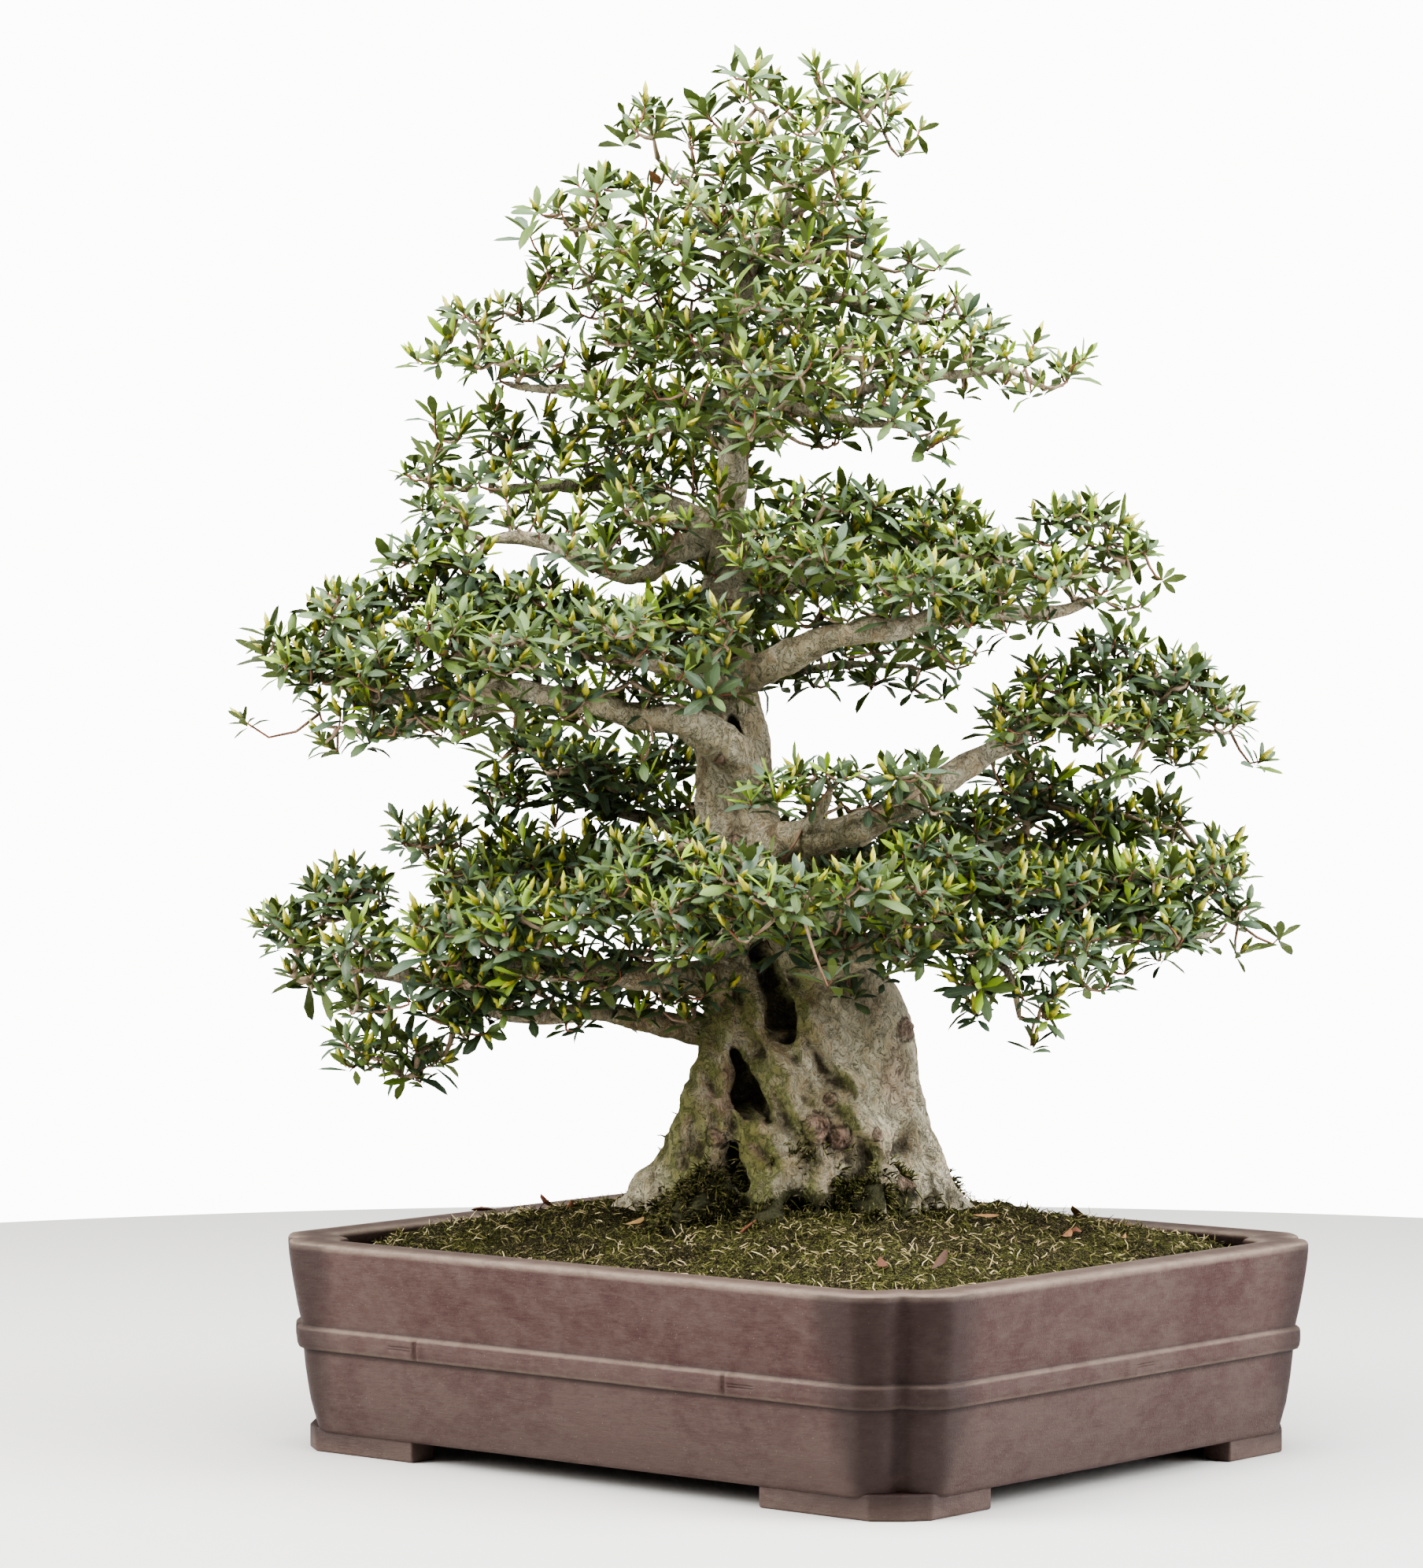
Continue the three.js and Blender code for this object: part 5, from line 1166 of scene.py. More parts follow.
def build_root_moss(look):
    """Dark cushions of moss round the foot of the trunk and between its roots."""
    chance = np.random.default_rng(977)
    feet = np.vstack([np.column_stack([chance.normal(x, across * 0.6, count), np.full(count, y),
                                       chance.normal(z, up * 0.6, count)])
                      for x, y, z, across, up, count in ROOT_MOSS])
    trunk = bpy.data.objects["trunk_and_limbs"]
    bark = BVHTree.FromPolygons(to_tree(points_of(trunk)).tolist(),
                                [face.vertices[:] for face in trunk.data.polygons])
    found = [bark.find_nearest(foot) for foot in feet]
    seated = np.array([(*place, *normal) for place, normal, _, _ in found])
    lengths = chance.uniform(5, 10.5, len(seated))
    t = np.linspace(0, 1, 3)[None, :, None]
    lean = unit(seated[:, 3:] + chance.normal(0, 0.5, (len(seated), 3)) + (0, 0, 0.5))
    roots = seated[:, None, :3] - 0.8 * seated[:, None, 3:]
    paths = roots + lean[:, None, :] * lengths[:, None, None] * t
    paths[:, :, 2] -= 2.5 * t[:, :, 0] ** 2
    strands = many_tubes(paths, 0.75 * (1 - 0.6 * t[:, :, 0]) * np.ones((len(seated), 1)), 3)
    tint = chance.normal(0.2, 0.13, len(seated))
    moss_piece("moss_on_roots", strands, TREE_TURN, tint, moss_paint(look))


# ------------------------ trunk


def trunk_rings(rows, sides, step):
    """Rings of the trunk's main wood, ribbed below where its roots run up into it."""
    table = np.array(rows, float)
    count = int((table[-1, 0] - table[0, 0]) / step)
    dense = smooth_path(table[:, :3], count)
    widths = [np.interp(dense[:, 0], table[:, 0], table[:, k]) / 2 for k in (3, 4)]
    angle = 2 * np.pi * np.arange(sides) / sides
    rings = []
    for (z, x, y), rx, ry in zip(dense, *widths):
        fade = max(0.0, 1 - (z - 140) / (FLUTE_TOP - 140))
        rib = np.full(sides, -0.35)
        for direction, _, _ in ROOTS[:MAIN_ROOTS]:
            away = (np.degrees(angle) - direction + 180) % 360 - 180
            rib += hump(away, FLUTE_SPREAD)
        swell = 1 + FLUTE_DEPTH * fade * rib
        rings.append(np.stack([x + rx * swell * np.cos(angle), y + ry * swell * np.sin(angle),
                               np.full(sides, z)], axis=1))
    return rings


def root_path(direction, reach):
    """The way a root runs out and down. The sine of its degrees gives each root its own bend."""
    bend = ROOT_BEND * math.sin(direction)
    c, s = math.cos(math.radians(direction)), math.sin(math.radians(direction))
    return smooth_path([(reach * share * c - bend * share * s, reach * share * s + bend * share * c, z)
                        for share, z in ROOT_FALL], 18)


def crooked(path, seed):
    """The path with the small crooks of old wood, none at its foot."""
    wander = np.stack([grain(path, 34, seed + k) + 0.5 * grain(path, 16, seed + 3 + k)
                       for k in range(3)], axis=1)
    return path + wander * (1, 1, 0.6) * 5.0 * ease(np.arange(len(path)) / len(path), 0, 0.3)[:, None]


def limb_wood(limb, start, end, spacing=7.0):
    """Path and radii of part of a limb's wood, from one share of its length to another."""
    path = crooked(smooth_path(limb.route, 120), 71)
    whole = steps_of(path).sum()
    count = max(3, int((end - start) * whole / spacing))
    shares = np.linspace(start, end, count)
    found = at_lengths(path, shares * whole)
    knobs = 1 + 0.16 * grain(found, 13, 77) + 0.1 * grain(found, 5.5, 78)
    return found, (limb.base + (limb.tip - limb.base) * shares) * knobs


def wood_parts():
    """Every stretch of wood that is fused into the trunk, as paths with radii."""
    swell = np.interp(np.linspace(0, 1, 18), (0, 0.45, 1), (0.6, 1, 0.45))
    parts = [(root_path(direction, reach), thick * swell) for direction, reach, thick in ROOTS]
    parts += [(smooth_path(points, 24), np.linspace(foot, head, 24)) for points, foot, head in RIDGES]
    for limb in LIMBS:
        path, radii = limb_wood(limb, 0, limb.bare)
        along = np.linspace(0, 1, len(radii))
        collar = 1 + 0.28 * hump(along, 0.3)
        slim = 1 - 0.3 * ease(along * limb.bare, limb.bare - WOOD_OVERLAP, limb.bare)
        parts.append((path, radii * collar * slim))
    return parts


def hollow_balls():
    """Every ball that carves the hollows, with more of them between those of the table."""
    balls = []
    for chain in HOLLOWS:
        table = np.array(chain, float)
        spots = np.linspace(0, len(chain) - 1, 3 * len(chain) - 2)
        balls += list(np.stack([np.interp(spots, range(len(chain)), k) for k in table.T], axis=1))
    return balls


def lumpy_ball(place, halves, seed):
    mesh = bmesh.new()
    bmesh.ops.create_icosphere(mesh, subdivisions=3, radius=1)
    ball, faces = from_bmesh(mesh)
    return ball * (1 + 0.16 * grain(ball, 0.7, seed))[:, None] * halves + place, faces


def fused_wood(look):
    """The trunk, roots, ridges and bare limbs fused to one piece, with its hollows carved."""
    skins = [skin(trunk_rings(TRUNK_BASE, 64, 6)), skin(trunk_rings(TRUNK_STEM, 28, 6))]
    for number, (path, radii) in enumerate(wood_parts()):
        skins.append(skin(tube_rings(path, radii, 12, 0.14, number)))
    points, faces = joined(skins)
    trunk = new_piece("trunk_and_limbs", to_metres(points, TREE_TURN), faces)
    apply_modifier(trunk, "REMESH", mode="VOXEL", voxel_size=1.35 * look.grain_size)
    balls = [lumpy_ball(ball[:3], ball[3:], 40 + k) for k, ball in enumerate(hollow_balls())]
    points, faces = joined(balls)
    carver = new_piece("carver", to_metres(points, TREE_TURN), faces)
    apply_modifier(carver, "REMESH", mode="VOXEL", voxel_size=look.grain_size)
    apply_modifier(trunk, "BOOLEAN", operation="DIFFERENCE", solver="EXACT", object=carver)
    bpy.data.objects.remove(carver)
    apply_modifier(trunk, "REMESH", mode="VOXEL", voxel_size=look.grain_size)
    apply_modifier(trunk, "SMOOTH", factor=0.5, iterations=3)
    return trunk


def girth_at(points):
    """The radius of the wood nearest to each point."""
    places, radii = [], []
    for rows in (TRUNK_BASE, TRUNK_STEM):
        table = np.array(rows, float)
        dense = smooth_path(table[:, :3], 60)
        places.append(dense[:, [1, 2, 0]])
        radii.append(np.interp(dense[:, 0], table[:, 0], table[:, 3]) / 2)
    for limb in LIMBS:
        path, thick = limb_wood(limb, 0, limb.bare)
        places.append(path)
        radii.append(thick)
    places, radii = np.vstack(places), np.concatenate(radii)
    best = np.full(len(points), 1e9)
    girth = np.zeros(len(points))
    for place, radius in zip(places, radii):
        gap = np.abs(np.linalg.norm(points - place, axis=1) - radius)
        nearer = gap < best
        best[nearer] = gap[nearer]
        girth[nearer] = radius
    return girth


def furrow_relief(points):
    """Valleys between the muscles of the trunk, with their swollen lips."""
    relief = np.zeros(len(points))
    for route, width, depth, front in FURROWS:
        path = smooth_path(route, 40)
        apart = np.hypot(points[:, 0, None] - path[:, 0], points[:, 2, None] - path[:, 1]).min(axis=1)
        apart = apart + 0.3 * width * grain(points, 11, 81)
        away = points[:, 1] if front else -points[:, 1]
        facing = 1 - ease(away, -36, -14)
        relief += facing * depth * (0.35 * hump(apart - 1.7 * width, 0.7 * width) - hump(apart, width))
    return relief


def knot_relief(points):
    """Rings and dimples of the healed knots, how much of a knot each point lies on, and how far
    it lies from the nearest knot's middle, as a share of twice its radius."""
    relief = np.zeros(len(points))
    on_knot = np.zeros(len(points))
    reach = np.ones(len(points))
    for x, z, radius, front in KNOTS:
        apart = np.hypot(points[:, 0] - x, points[:, 2] - z) / radius
        near = apart < 2.2
        if not near.any():
            continue
        depth = points[:, 1] if front else -points[:, 1]
        skin_depth = np.quantile(depth[near], 0.12)
        facing = near & (depth < skin_depth + 2.5 * radius)
        rise = radius * (0.42 * hump(apart, 0.85) - 0.2 * hump(apart - 0.5, 0.13)
                         - 0.16 * hump(apart - 0.95, 0.16) - 0.2 * hump(apart, 0.15))
        relief[facing] += rise[facing]
        on_knot[facing] = np.maximum(on_knot[facing], (1 - ease(apart, 0.6, 1.25))[facing])
        reach[facing] = np.minimum(reach[facing], apart[facing] / 2)
    return relief, on_knot, reach


def bark_relief(points, girth):
    """Waves, folds and flakes of the bark, deeper where the wood is thicker. The right flank is
    the smooth one."""
    x, y, z = points.T
    depth = np.clip(girth / 60, 0.08, 1.0)
    warped = points + 9 * np.stack([grain(points, 30, k) for k in (51, 52, 53)], axis=1)
    slanted = warped.copy()
    slanted[:, 0] += 0.45 * z
    smooth = ease(x, 12, 48) * ease(z, 200, 235) * (1 - ease(y, 0, 40))
    rough = 1 - 0.66 * smooth
    waves = 4.2 * grain(slanted, (30, 30, 60), 31) + 1.8 * grain(slanted, (14, 14, 24), 36)
    ribs = 2.6 * (1 - 2.4 * np.abs(grain(slanted, (12, 12, 34), 32)))
    folds = -2.4 * hump(grain(slanted, (28, 28, 80), 33), 0.2)
    flakes = 0.8 * np.abs(grain(warped, (5, 5, 7), 34)) ** 0.6 + 0.6 * np.abs(grain(points, 3.2, 37))
    lumps = 1.1 * grain(points, 8, 35) * np.clip(girth / 10, 0.4, 1)
    return depth * (rough * (waves + ribs + folds) - 1.6) + (0.4 + 0.6 * depth) * flakes + rough * lumps


def hollowness(piece, rounds):
    """How far each point lies below the mean of those round it, in millimetres."""
    ends = rows_of(piece.data.edges, "vertices", 2, np.int32)
    first, second = ends.T
    points = points_of(piece)
    share = np.maximum(np.bincount(ends.ravel(), minlength=len(points)), 1)[:, None]
    level = points
    for _ in range(rounds):
        total = np.stack([np.bincount(first, level[second, k], len(points))
                          + np.bincount(second, level[first, k], len(points)) for k in range(3)], axis=1)
        level = total / share
    return ((level - points) * normals_of(piece)).sum(axis=1) / MM


def bark_paint(look):
    bark = Paint("Azalea bark", 0.84, 0.3)
    clouds = bark.noise(0.03, 5, 0.65, 0.8, (1, 1, 0.7))
    plates = bark.noise(0.0075, 7, 0.72, 1.0, (1, 1, 0.8))
    fine = bark.noise(0.0016, 5, 0.7)
    body = bark.steps(clouds, (0.34, look.flakes), (0.46, look.bark), (0.64, look.pale))
    body = bark.between(body, look.flakes, bark.steps(plates, (0.54, 0.0), (0.62, 0.8)))
    scurf = bark.steps(plates, (0.36, 0.9), (0.5, 0.35), (0.56, 0.9))
    body = bark.between(body, look.scurf, bark.value("rough"), scurf, 0.6)
    body = bark.between(body, look.pale, bark.steps(plates, (0.34, 0.75), (0.42, 0.0)))
    pale = bark.steps(plates, (0.4, 0.95), (0.6, 0.25))
    body = bark.between(body, look.weathered, bark.value("worn"), pale, 0.75)
    blush = bark.steps(plates, (0.4, 0.9), (0.62, 0.3))
    body = bark.between(body, look.blush, bark.value("blush"), blush)
    body = bark.between(body, look.blush, bark.value("knot"), 0.7)
    film = bark.steps(plates, (0.34, 1.0), (0.62, 0.55))
    body = bark.between(body, look.algae, bark.value("algae"), film)
    edges = bark.steps(plates, (0.445, 0.0), (0.47, 0.8), (0.48, 0.8), (0.52, 0.0))
    broken = bark.steps(fine, (0.35, 0.3), (0.6, 0.9))
    body = bark.between(body, look.dark, edges, broken)
    reach = bark.sum(bark.value("reach"), bark.times(bark.sum(plates, -0.5), 0.9))
    rings = bark.steps(reach, (0.0, 0.75), (0.1, 0.15), (0.3, 0.0), (0.4, 0.1), (0.46, 0.85),
                       (0.56, 0.0))
    body = bark.between(body, look.dark, rings, broken)
    # painted shade in the sunken parts of the wood, from how far each point lies below those round it
    groove_shade_breakup = bark.steps(fine, (0.3, 1.0), (0.7, 0.7))
    body = bark.between(body, look.dark, bark.value("groove_shade"), groove_shade_breakup)
    ragged = bark.sum(bark.times(plates, 1.7), bark.sum(fine, -1.35))
    mossy = bark.steps(bark.sum(bark.value("mossy"), ragged), (0.34, 0.0), (0.6, 0.95))
    green = bark.steps(fine, (0.3, look.cushion_shade), (0.7, look.cushion))
    body = bark.between(body, green, mossy)
    # near-black in the hollows: partly the wood's own colour, partly painted shade
    bark.colour(bark.between(body, look.inside, bark.value("hollow")))
    height = bark.steps(plates, (0.3, 0.0), (0.46, 0.45), (0.5, 0.75), (0.7, 1.0))
    height = bark.sum(height, bark.times(fine, 0.35))
    bark.bump(bark.sum(height, bark.times(rings, -0.7)), 0.003)
    return bark.material


def moss_cushions(points):
    """How deep in a cushion of moss each point of the trunk lies."""
    deep = np.zeros(len(points))
    for x, y, z, across, up, count in ROOT_MOSS:
        apart = np.linalg.norm((points - (x, y, z)) / (1.15 * across, 30, 1.15 * up), axis=1)
        deep = np.maximum(deep, (1 - ease(apart, 0.5, 1.2)) * min(1, count / 260))
    return deep


def in_hollows(points):
    """How deep in a carved hollow each point lies."""
    deep = np.zeros(len(points))
    for ball in hollow_balls():
        inside = np.linalg.norm((points - ball[:3]) / ball[3:], axis=1)
        deep = np.maximum(deep, 1 - ease(inside, 0.75, 1.1))
    return deep


def bark_marks(trunk, points, girth, cushions):
    """Where the bark is worn, rough, blushed or green, and where it is darkened by painted shade in its
    sunken places and by the dark of the hollows, from 0 to 1 at each point.
    """
    x, y, z = points.T
    # painted shade where the surface is sunken, more where it lies deeper below those round it
    groove_shade = 0.75 * ease(hollowness(trunk, 14), 0.9, 4.0) + 0.5 * ease(hollowness(trunk, 3), 0.25, 0.9)
    flank = ease(x, 8, 50) * (1 - ease(y, -10, 40)) * ease(z, 165, 195) * (1 - ease(z, 330, 420))
    toes = (ease(-x, 78, 94) + ease(x, 84, 98)) * (1 - ease(z, 184, 204)) * ease(z, 152, 164)
    off_toes = 1 - np.clip(toes, 0, 1)
    rough = (1 - flank) * off_toes * (1 - ease(z, 320, 420))
    facing_left = ease(-turned(normals_of(trunk), -TREE_TURN)[:, 0], -0.1, 0.6)
    left = facing_left * (0.55 + 0.45 * ease(-x, -10, 40)) * (1 - ease(z, 296, 350)) * ease(z, 158, 186)
    algae = (1.3 * left + 0.5 * ease(y, 0, 60) + 0.14) * (0.95 + 0.9 * grain(points, (20, 20, 34), 61))
    blush = np.clip(1.9 * grain(points, (24, 24, 30), 64) - 0.35, 0, 0.75)
    return {
        "hollow": in_hollows(points) * (1 - 0.8 * cushions),
        "groove_shade": np.clip(groove_shade * np.clip(girth / 32, 0.3, 1), 0, 0.9),
        "worn": np.clip(flank + toes + 0.1 + 0.55 * ease(z, 330, 520), 0, 1),
        "rough": np.clip(rough * (0.85 + 0.8 * grain(points, (26, 26, 40), 66)), 0, 1),
        "blush": blush * (1 - ease(z, 250, 330)),
        "algae": np.clip(algae, 0, 0.95) * (1 - 0.7 * np.clip(toes, 0, 1)),
    }


def build_trunk(look):
    trunk = fused_wood(look)
    points = to_tree(points_of(trunk))
    x, _, z = points.T
    girth = girth_at(points)
    knots, on_knot, reach = knot_relief(points)
    cushions = moss_cushions(points)
    thin = np.clip((1 - ease(z, 156, 194)) * (1.2 + 1.3 * grain(points, 18, 62)), 0, 1)
    thin = thin * (1 - 0.8 * ease(np.abs(x + 6), 72, 90))
    relief = bark_relief(points, girth) + furrow_relief(points) * np.clip(girth / 50, 0.2, 1) + knots
    relief = relief * (1 - 0.5 * cushions) + cushions * (3.4 + 2.4 * grain(points, 5.5, 63)) + 1.2 * thin
    shaped = points_of(trunk) + normals_of(trunk) * (relief * MM)[:, None]
    trunk.data.vertices.foreach_set("co", shaped.astype(np.float32).ravel())
    trunk.data.update()
    marks = {"mossy": np.maximum(cushions, thin), "knot": on_knot, "reach": reach}
    marks |= bark_marks(trunk, points, girth, cushions)
    for name, values in marks.items():
        set_points(trunk, name, values)
    coat(trunk, bark_paint(look))
    seat(trunk, "bark", "trunk")


# ------------------------ leaves, buds and twigs


def leaf_blades(root, forward, face, sizes, bend, droop):
    """Closed thin leaves. Sizes are length, width and thickness. A leaf is highest along its rib,
    its halves droop to the rim, and it bends away from its face. Returns points as leaves by 11
    by 3, and the faces of one leaf."""
    long, wide, thick = (np.asarray(s, float) for s in sizes)
    side = np.cross(face, forward)
    bend = np.where(np.abs(bend) < 0.02, 0.02, bend)

    def rib(t):
        ahead = (long * np.sin(bend * t) / bend)[:, None]
        aside = (long * (1 - np.cos(bend * t)) / bend)[:, None]
        return root + ahead * forward - aside * face

    points = [root, rib(1.0)]
    for t, share in LEAF_RINGS:
        up = np.cos(bend * t)[:, None] * face + np.sin(bend * t)[:, None] * forward
        half = (wide * share / 2)[:, None]
        rim = rib(t) - up * (half * droop[:, None])
        ridge = rib(t) + up * thick[:, None] * (0.5 + 0.5 * share)
        points += [ridge, rim - side * half, rim + side * half]
    faces = []
    for k in range(len(LEAF_RINGS) - 1):
        low, high = 2 + 3 * k, 5 + 3 * k
        faces += [[low + j, low + (j + 1) % 3, high + (j + 1) % 3, high + j] for j in range(3)]
    last = 2 + 3 * (len(LEAF_RINGS) - 1)
    faces += [[0, 2 + (j + 1) % 3, 2 + j] for j in range(3)]
    faces += [[1, last + j, last + (j + 1) % 3] for j in range(3)]
    return np.stack(points, axis=1), faces


# how far the points of a leaf lie from its rim, which is 0, to its rib, and how far along it
LEAF_HEIGHTS = np.array([0.1, 0.1] + [1.0, 0.0, 0.0] * len(LEAF_RINGS))
LEAF_PLACES = np.array([0.0, 1.0] + [t for t, _ in LEAF_RINGS for _ in range(3)])


def bud_spindles(root, axis, long, radius):
    """Closed pointed buds, as buds by points by 3, and the faces of one bud."""
    helper = np.where(np.abs(axis[:, 2:3]) < 0.85, (0.0, 0.0, 1.0), (1.0, 0.0, 0.0))
    side = unit(np.cross(axis, helper))
    other = np.cross(axis, side)
    points = [root, root + axis * long[:, None]]
    for t, share in BUD_RINGS:
        for j in range(BUD_SIDES):
            turn = 2 * math.pi * (j / BUD_SIDES + 0.5 * t)
            reach = (radius * share)[:, None] * (math.cos(turn) * side + math.sin(turn) * other)
            points.append(root + axis * (long * t)[:, None] + reach)

    def at(ring, j):
        return 2 + BUD_SIDES * ring + j % BUD_SIDES

    faces = []
    for j in range(BUD_SIDES):
        faces += [[0, at(0, j + 1), at(0, j)], [1, at(2, j), at(2, j + 1)]]
        faces += [[at(k, j), at(k, j + 1), at(k + 1, j + 1), at(k + 1, j)] for k in (0, 1)]
    return np.stack(points, axis=1), faces


BUD_PLACES = np.array([0.0, 1.0] + [t for t, _ in BUD_RINGS for _ in range(BUD_SIDES)])


def shoot_places(limb, chance):
    """Places where shoots of a limb may end, with the way out of the spray at each: all over its
    pads, and on short twigs along its wood."""
    found = []
    for x, y, z, radius, height in sorted(limb.pads, key=lambda pad: -pad[3]):
        across = max(radius - 9.0, 2)
        reach = np.array([across, across, max(height - 7.0, 1.5)])
        for _ in range(int(90 + (radius / 2.2) ** 2)):
            way = unit(chance.normal(0, 1, 3))
            if way[2] < -0.3 and chance.random() < 0.5:
                way[2] = -way[2]
            found.append((np.array([x, y, z]) + way * reach * chance.uniform(0.3, 1.0) ** 0.4, way))
    path, _ = limb_wood(limb, 0.3 * limb.bare, 1.0, 9.0)
    for place in path:
        for _ in range(5):
            way = unit(chance.normal(0, 1, 3) * (1, 1, 0.7) + (0, 0, 0.45))
            found.append((place + way * chance.uniform(16, 34), way))
    return found


def in_clearing(tip):
    """Whether a shoot's leaves would reach into one of the clearings in the front of the tree."""
    return tip[1] < 10 and any(left - 5 < tip[0] < right + 5 and low - 9 < tip[2] < high + 3
                               for left, right, low, high in CLEARINGS)


def shoot_tips(look, chance):
    """Where the shoots of every limb end, and which way they point: one list for each limb."""
    spacing = look.spacing / MM
    taken = np.zeros((0, 3))
    shoots = []
    for limb in LIMBS:
        kept = []
        for tip, way in shoot_places(limb, chance):
            apart = np.linalg.norm(taken - tip, axis=1).min() if len(taken) else spacing * 2
            loose = 1 + 0.27 * float(ease(tip[2], 560, 720))
            if apart < spacing * loose * chance.uniform(0.78, 1.1) or in_clearing(tip):
                continue
            taken = np.vstack([taken, tip])
            lean = np.array([way[0] * 0.55, way[1] * 0.55, 0.7 + 0.5 * max(way[2], -0.3)])
            kept.append((tip, unit(lean + chance.normal(0, 0.2, 3))))
        shoots.append(kept)
    return shoots


def whorl_leaves(tips, axes, look, chance):
    """The leaves of the whorls at the shoot tips, as arrays with a row for each leaf: its shoot,
    root, forward, face, size, bend, droop and youth."""
    leaves = []
    full, wide = look.leaf / MM, look.leaf_width / MM
    for shoot, (tip, axis) in enumerate(zip(tips, axes)):
        side = unit(np.cross(axis, (0.2, 1.0, 0.1)))
        other = np.cross(axis, side)
        # Towards the crown more shoots are young and grown leaves are yellower: partly real new growth,
        # partly painted top light
        high = ease(tip[2], 420, 800)
        fresh = chance.random() < 0.22 + 0.14 * high
        count = chance.integers(6, 9)
        vigour = chance.uniform(0.74, 1.16) if chance.random() < 0.9 else 1.34
        begin = chance.uniform(0, 2 * math.pi)
        for j in range(count):
            inner = j / (count - 1)
            young = fresh and inner > 0.45
            turn = begin + 2.4 * j + chance.normal(0, 0.15)
            polar = math.radians(62 - 5 * high - 42 * inner + chance.normal(0, 8) - (6 if young else 0))
            radial = math.cos(turn) * side + math.sin(turn) * other
            scale = vigour * (1.08 - 0.3 * inner) * chance.uniform(0.84, 1.14)
            bend = chance.uniform(0.6, 1.45) * (1 - 0.3 * inner) * (0.45 if young else 1)
            droop = chance.uniform(0.05, 0.4)
            grown = max(0, chance.normal(0.06 + 0.14 * high, 0.14))
            leaves.append((shoot, tip - axis * (6.5 * (1 - inner)),
                           math.cos(polar) * axis + math.sin(polar) * radial,
                           math.sin(polar) * axis - math.cos(polar) * radial,
                           (full * scale, wide * scale * (0.8 if young else 1.0), LEAF_THICKNESS),
                           bend, droop, chance.uniform(0.6, 1.0) if young else grown))
    return [np.array(column) for column in zip(*leaves)]


def keep_in_box(points, owner, count):
    """How far each owner's points must move to stay in the frame's box, in metres."""
    low, high = (np.array(corner) for corner in CAD_BOX)
    flat = points.reshape(len(points), -1, 3)
    over = np.maximum(flat.max(axis=1) - high, 0) - np.maximum(low - flat.min(axis=1), 0)
    inward, outward = np.zeros((count, 3)), np.zeros((count, 3))
    for k in range(3):
        np.minimum.at(inward[:, k], owner, -over[:, k])
        np.maximum.at(outward[:, k], owner, -over[:, k])
    return inward + outward


def build_leaves(limb, tips, axes, look, chance, materials):
    """The leaves and buds of one limb. Returns its shoot tips, moved in if leaves left the box."""
    shoot, root, forward, face, size, bend, droop, youth = whorl_leaves(tips, axes, look, chance)
    blades, blade_faces = leaf_blades(to_metres(root, TREE_TURN), turned(forward), turned(face),
                                      (size * MM).T, bend, droop)
    shift = keep_in_box(blades, shoot, len(tips))
    blades += shift[shoot][:, None, :]
    tips_now = to_metres(tips, TREE_TURN) + shift
    budded = np.flatnonzero(chance.random(len(tips)) < BUDDED)
    long = look.bud_length * chance.uniform(0.8, 1.12, len(budded))
    bud_axes = turned(unit(axes[budded] + chance.normal(0, 0.16, (len(budded), 3))))
    buds, bud_faces = bud_spindles(tips_now[budded] - bud_axes * MM, bud_axes, long, long * BUD_RADIUS)
    buds = np.minimum(buds, np.array(CAD_BOX[1]))
    points, faces = joined([repeated(blades, blade_faces), repeated(buds, bud_faces)])
    piece = new_piece(f"leaves_{limb.name}", points, faces)
    blade_count, bud_count = len(blade_faces) * len(blades), len(bud_faces) * len(buds)
    coat(piece, *materials, kinds=np.repeat([0, 1], [blade_count, bud_count]))
    heights = np.tile(LEAF_HEIGHTS, len(blades))
    on_buds = np.zeros(len(points) - len(heights))
    per_leaf = len(LEAF_HEIGHTS)
    for name, *values in (
            ("rib", heights, on_buds),
            ("along", np.tile(LEAF_PLACES, len(blades)), np.tile(BUD_PLACES, len(buds))),
            ("shade", np.repeat(chance.random(len(blades)), per_leaf), on_buds),
            ("youth", np.repeat(youth, per_leaf), on_buds)):
        set_points(piece, name, np.concatenate(values))
    sharpen(piece, np.concatenate([heights < 0.5, on_buds > 0]))
    seat(piece, "leaves", f"spray_{limb.name}")
    return tips_now


def bezier(corners, t):
    a, b, c, d = corners
    return (1 - t) ** 3 * a + 3 * (1 - t) ** 2 * t * b + 3 * (1 - t) * t**2 * c + t**3 * d


def grow_twigs(wood, tips, axes):
    """Joins every tip to the nearest wood or twig already grown. Returns for each twig its four
    corners of a curve and the number of the twig it springs from, or -1 for the limb."""
    places = list(wood)
    owners = [-1] * len(places)
    waiting = list(range(len(tips)))
    twigs = []
    while waiting:
        known = np.array(places)
        gaps = np.linalg.norm(known[None, :, :] - tips[waiting][:, None, :], axis=2)
        pick, spot = np.unravel_index(gaps.argmin(), gaps.shape)
        tip = waiting.pop(int(pick))
        start, end = known[spot], tips[tip]
        reach = np.linalg.norm(end - start)
        lift = end - axes[tip] * min(0.45 * reach, 0.03)
        outward = start + (lift - start) * 0.4 + np.array([0, 0, -0.06 * reach])
        curve = np.array([start, outward, lift, end])
        for t in (0.35, 0.6, 0.8):
            places.append(bezier(curve, t))
            owners.append(len(twigs))
        twigs.append((curve, owners[spot]))
    return twigs


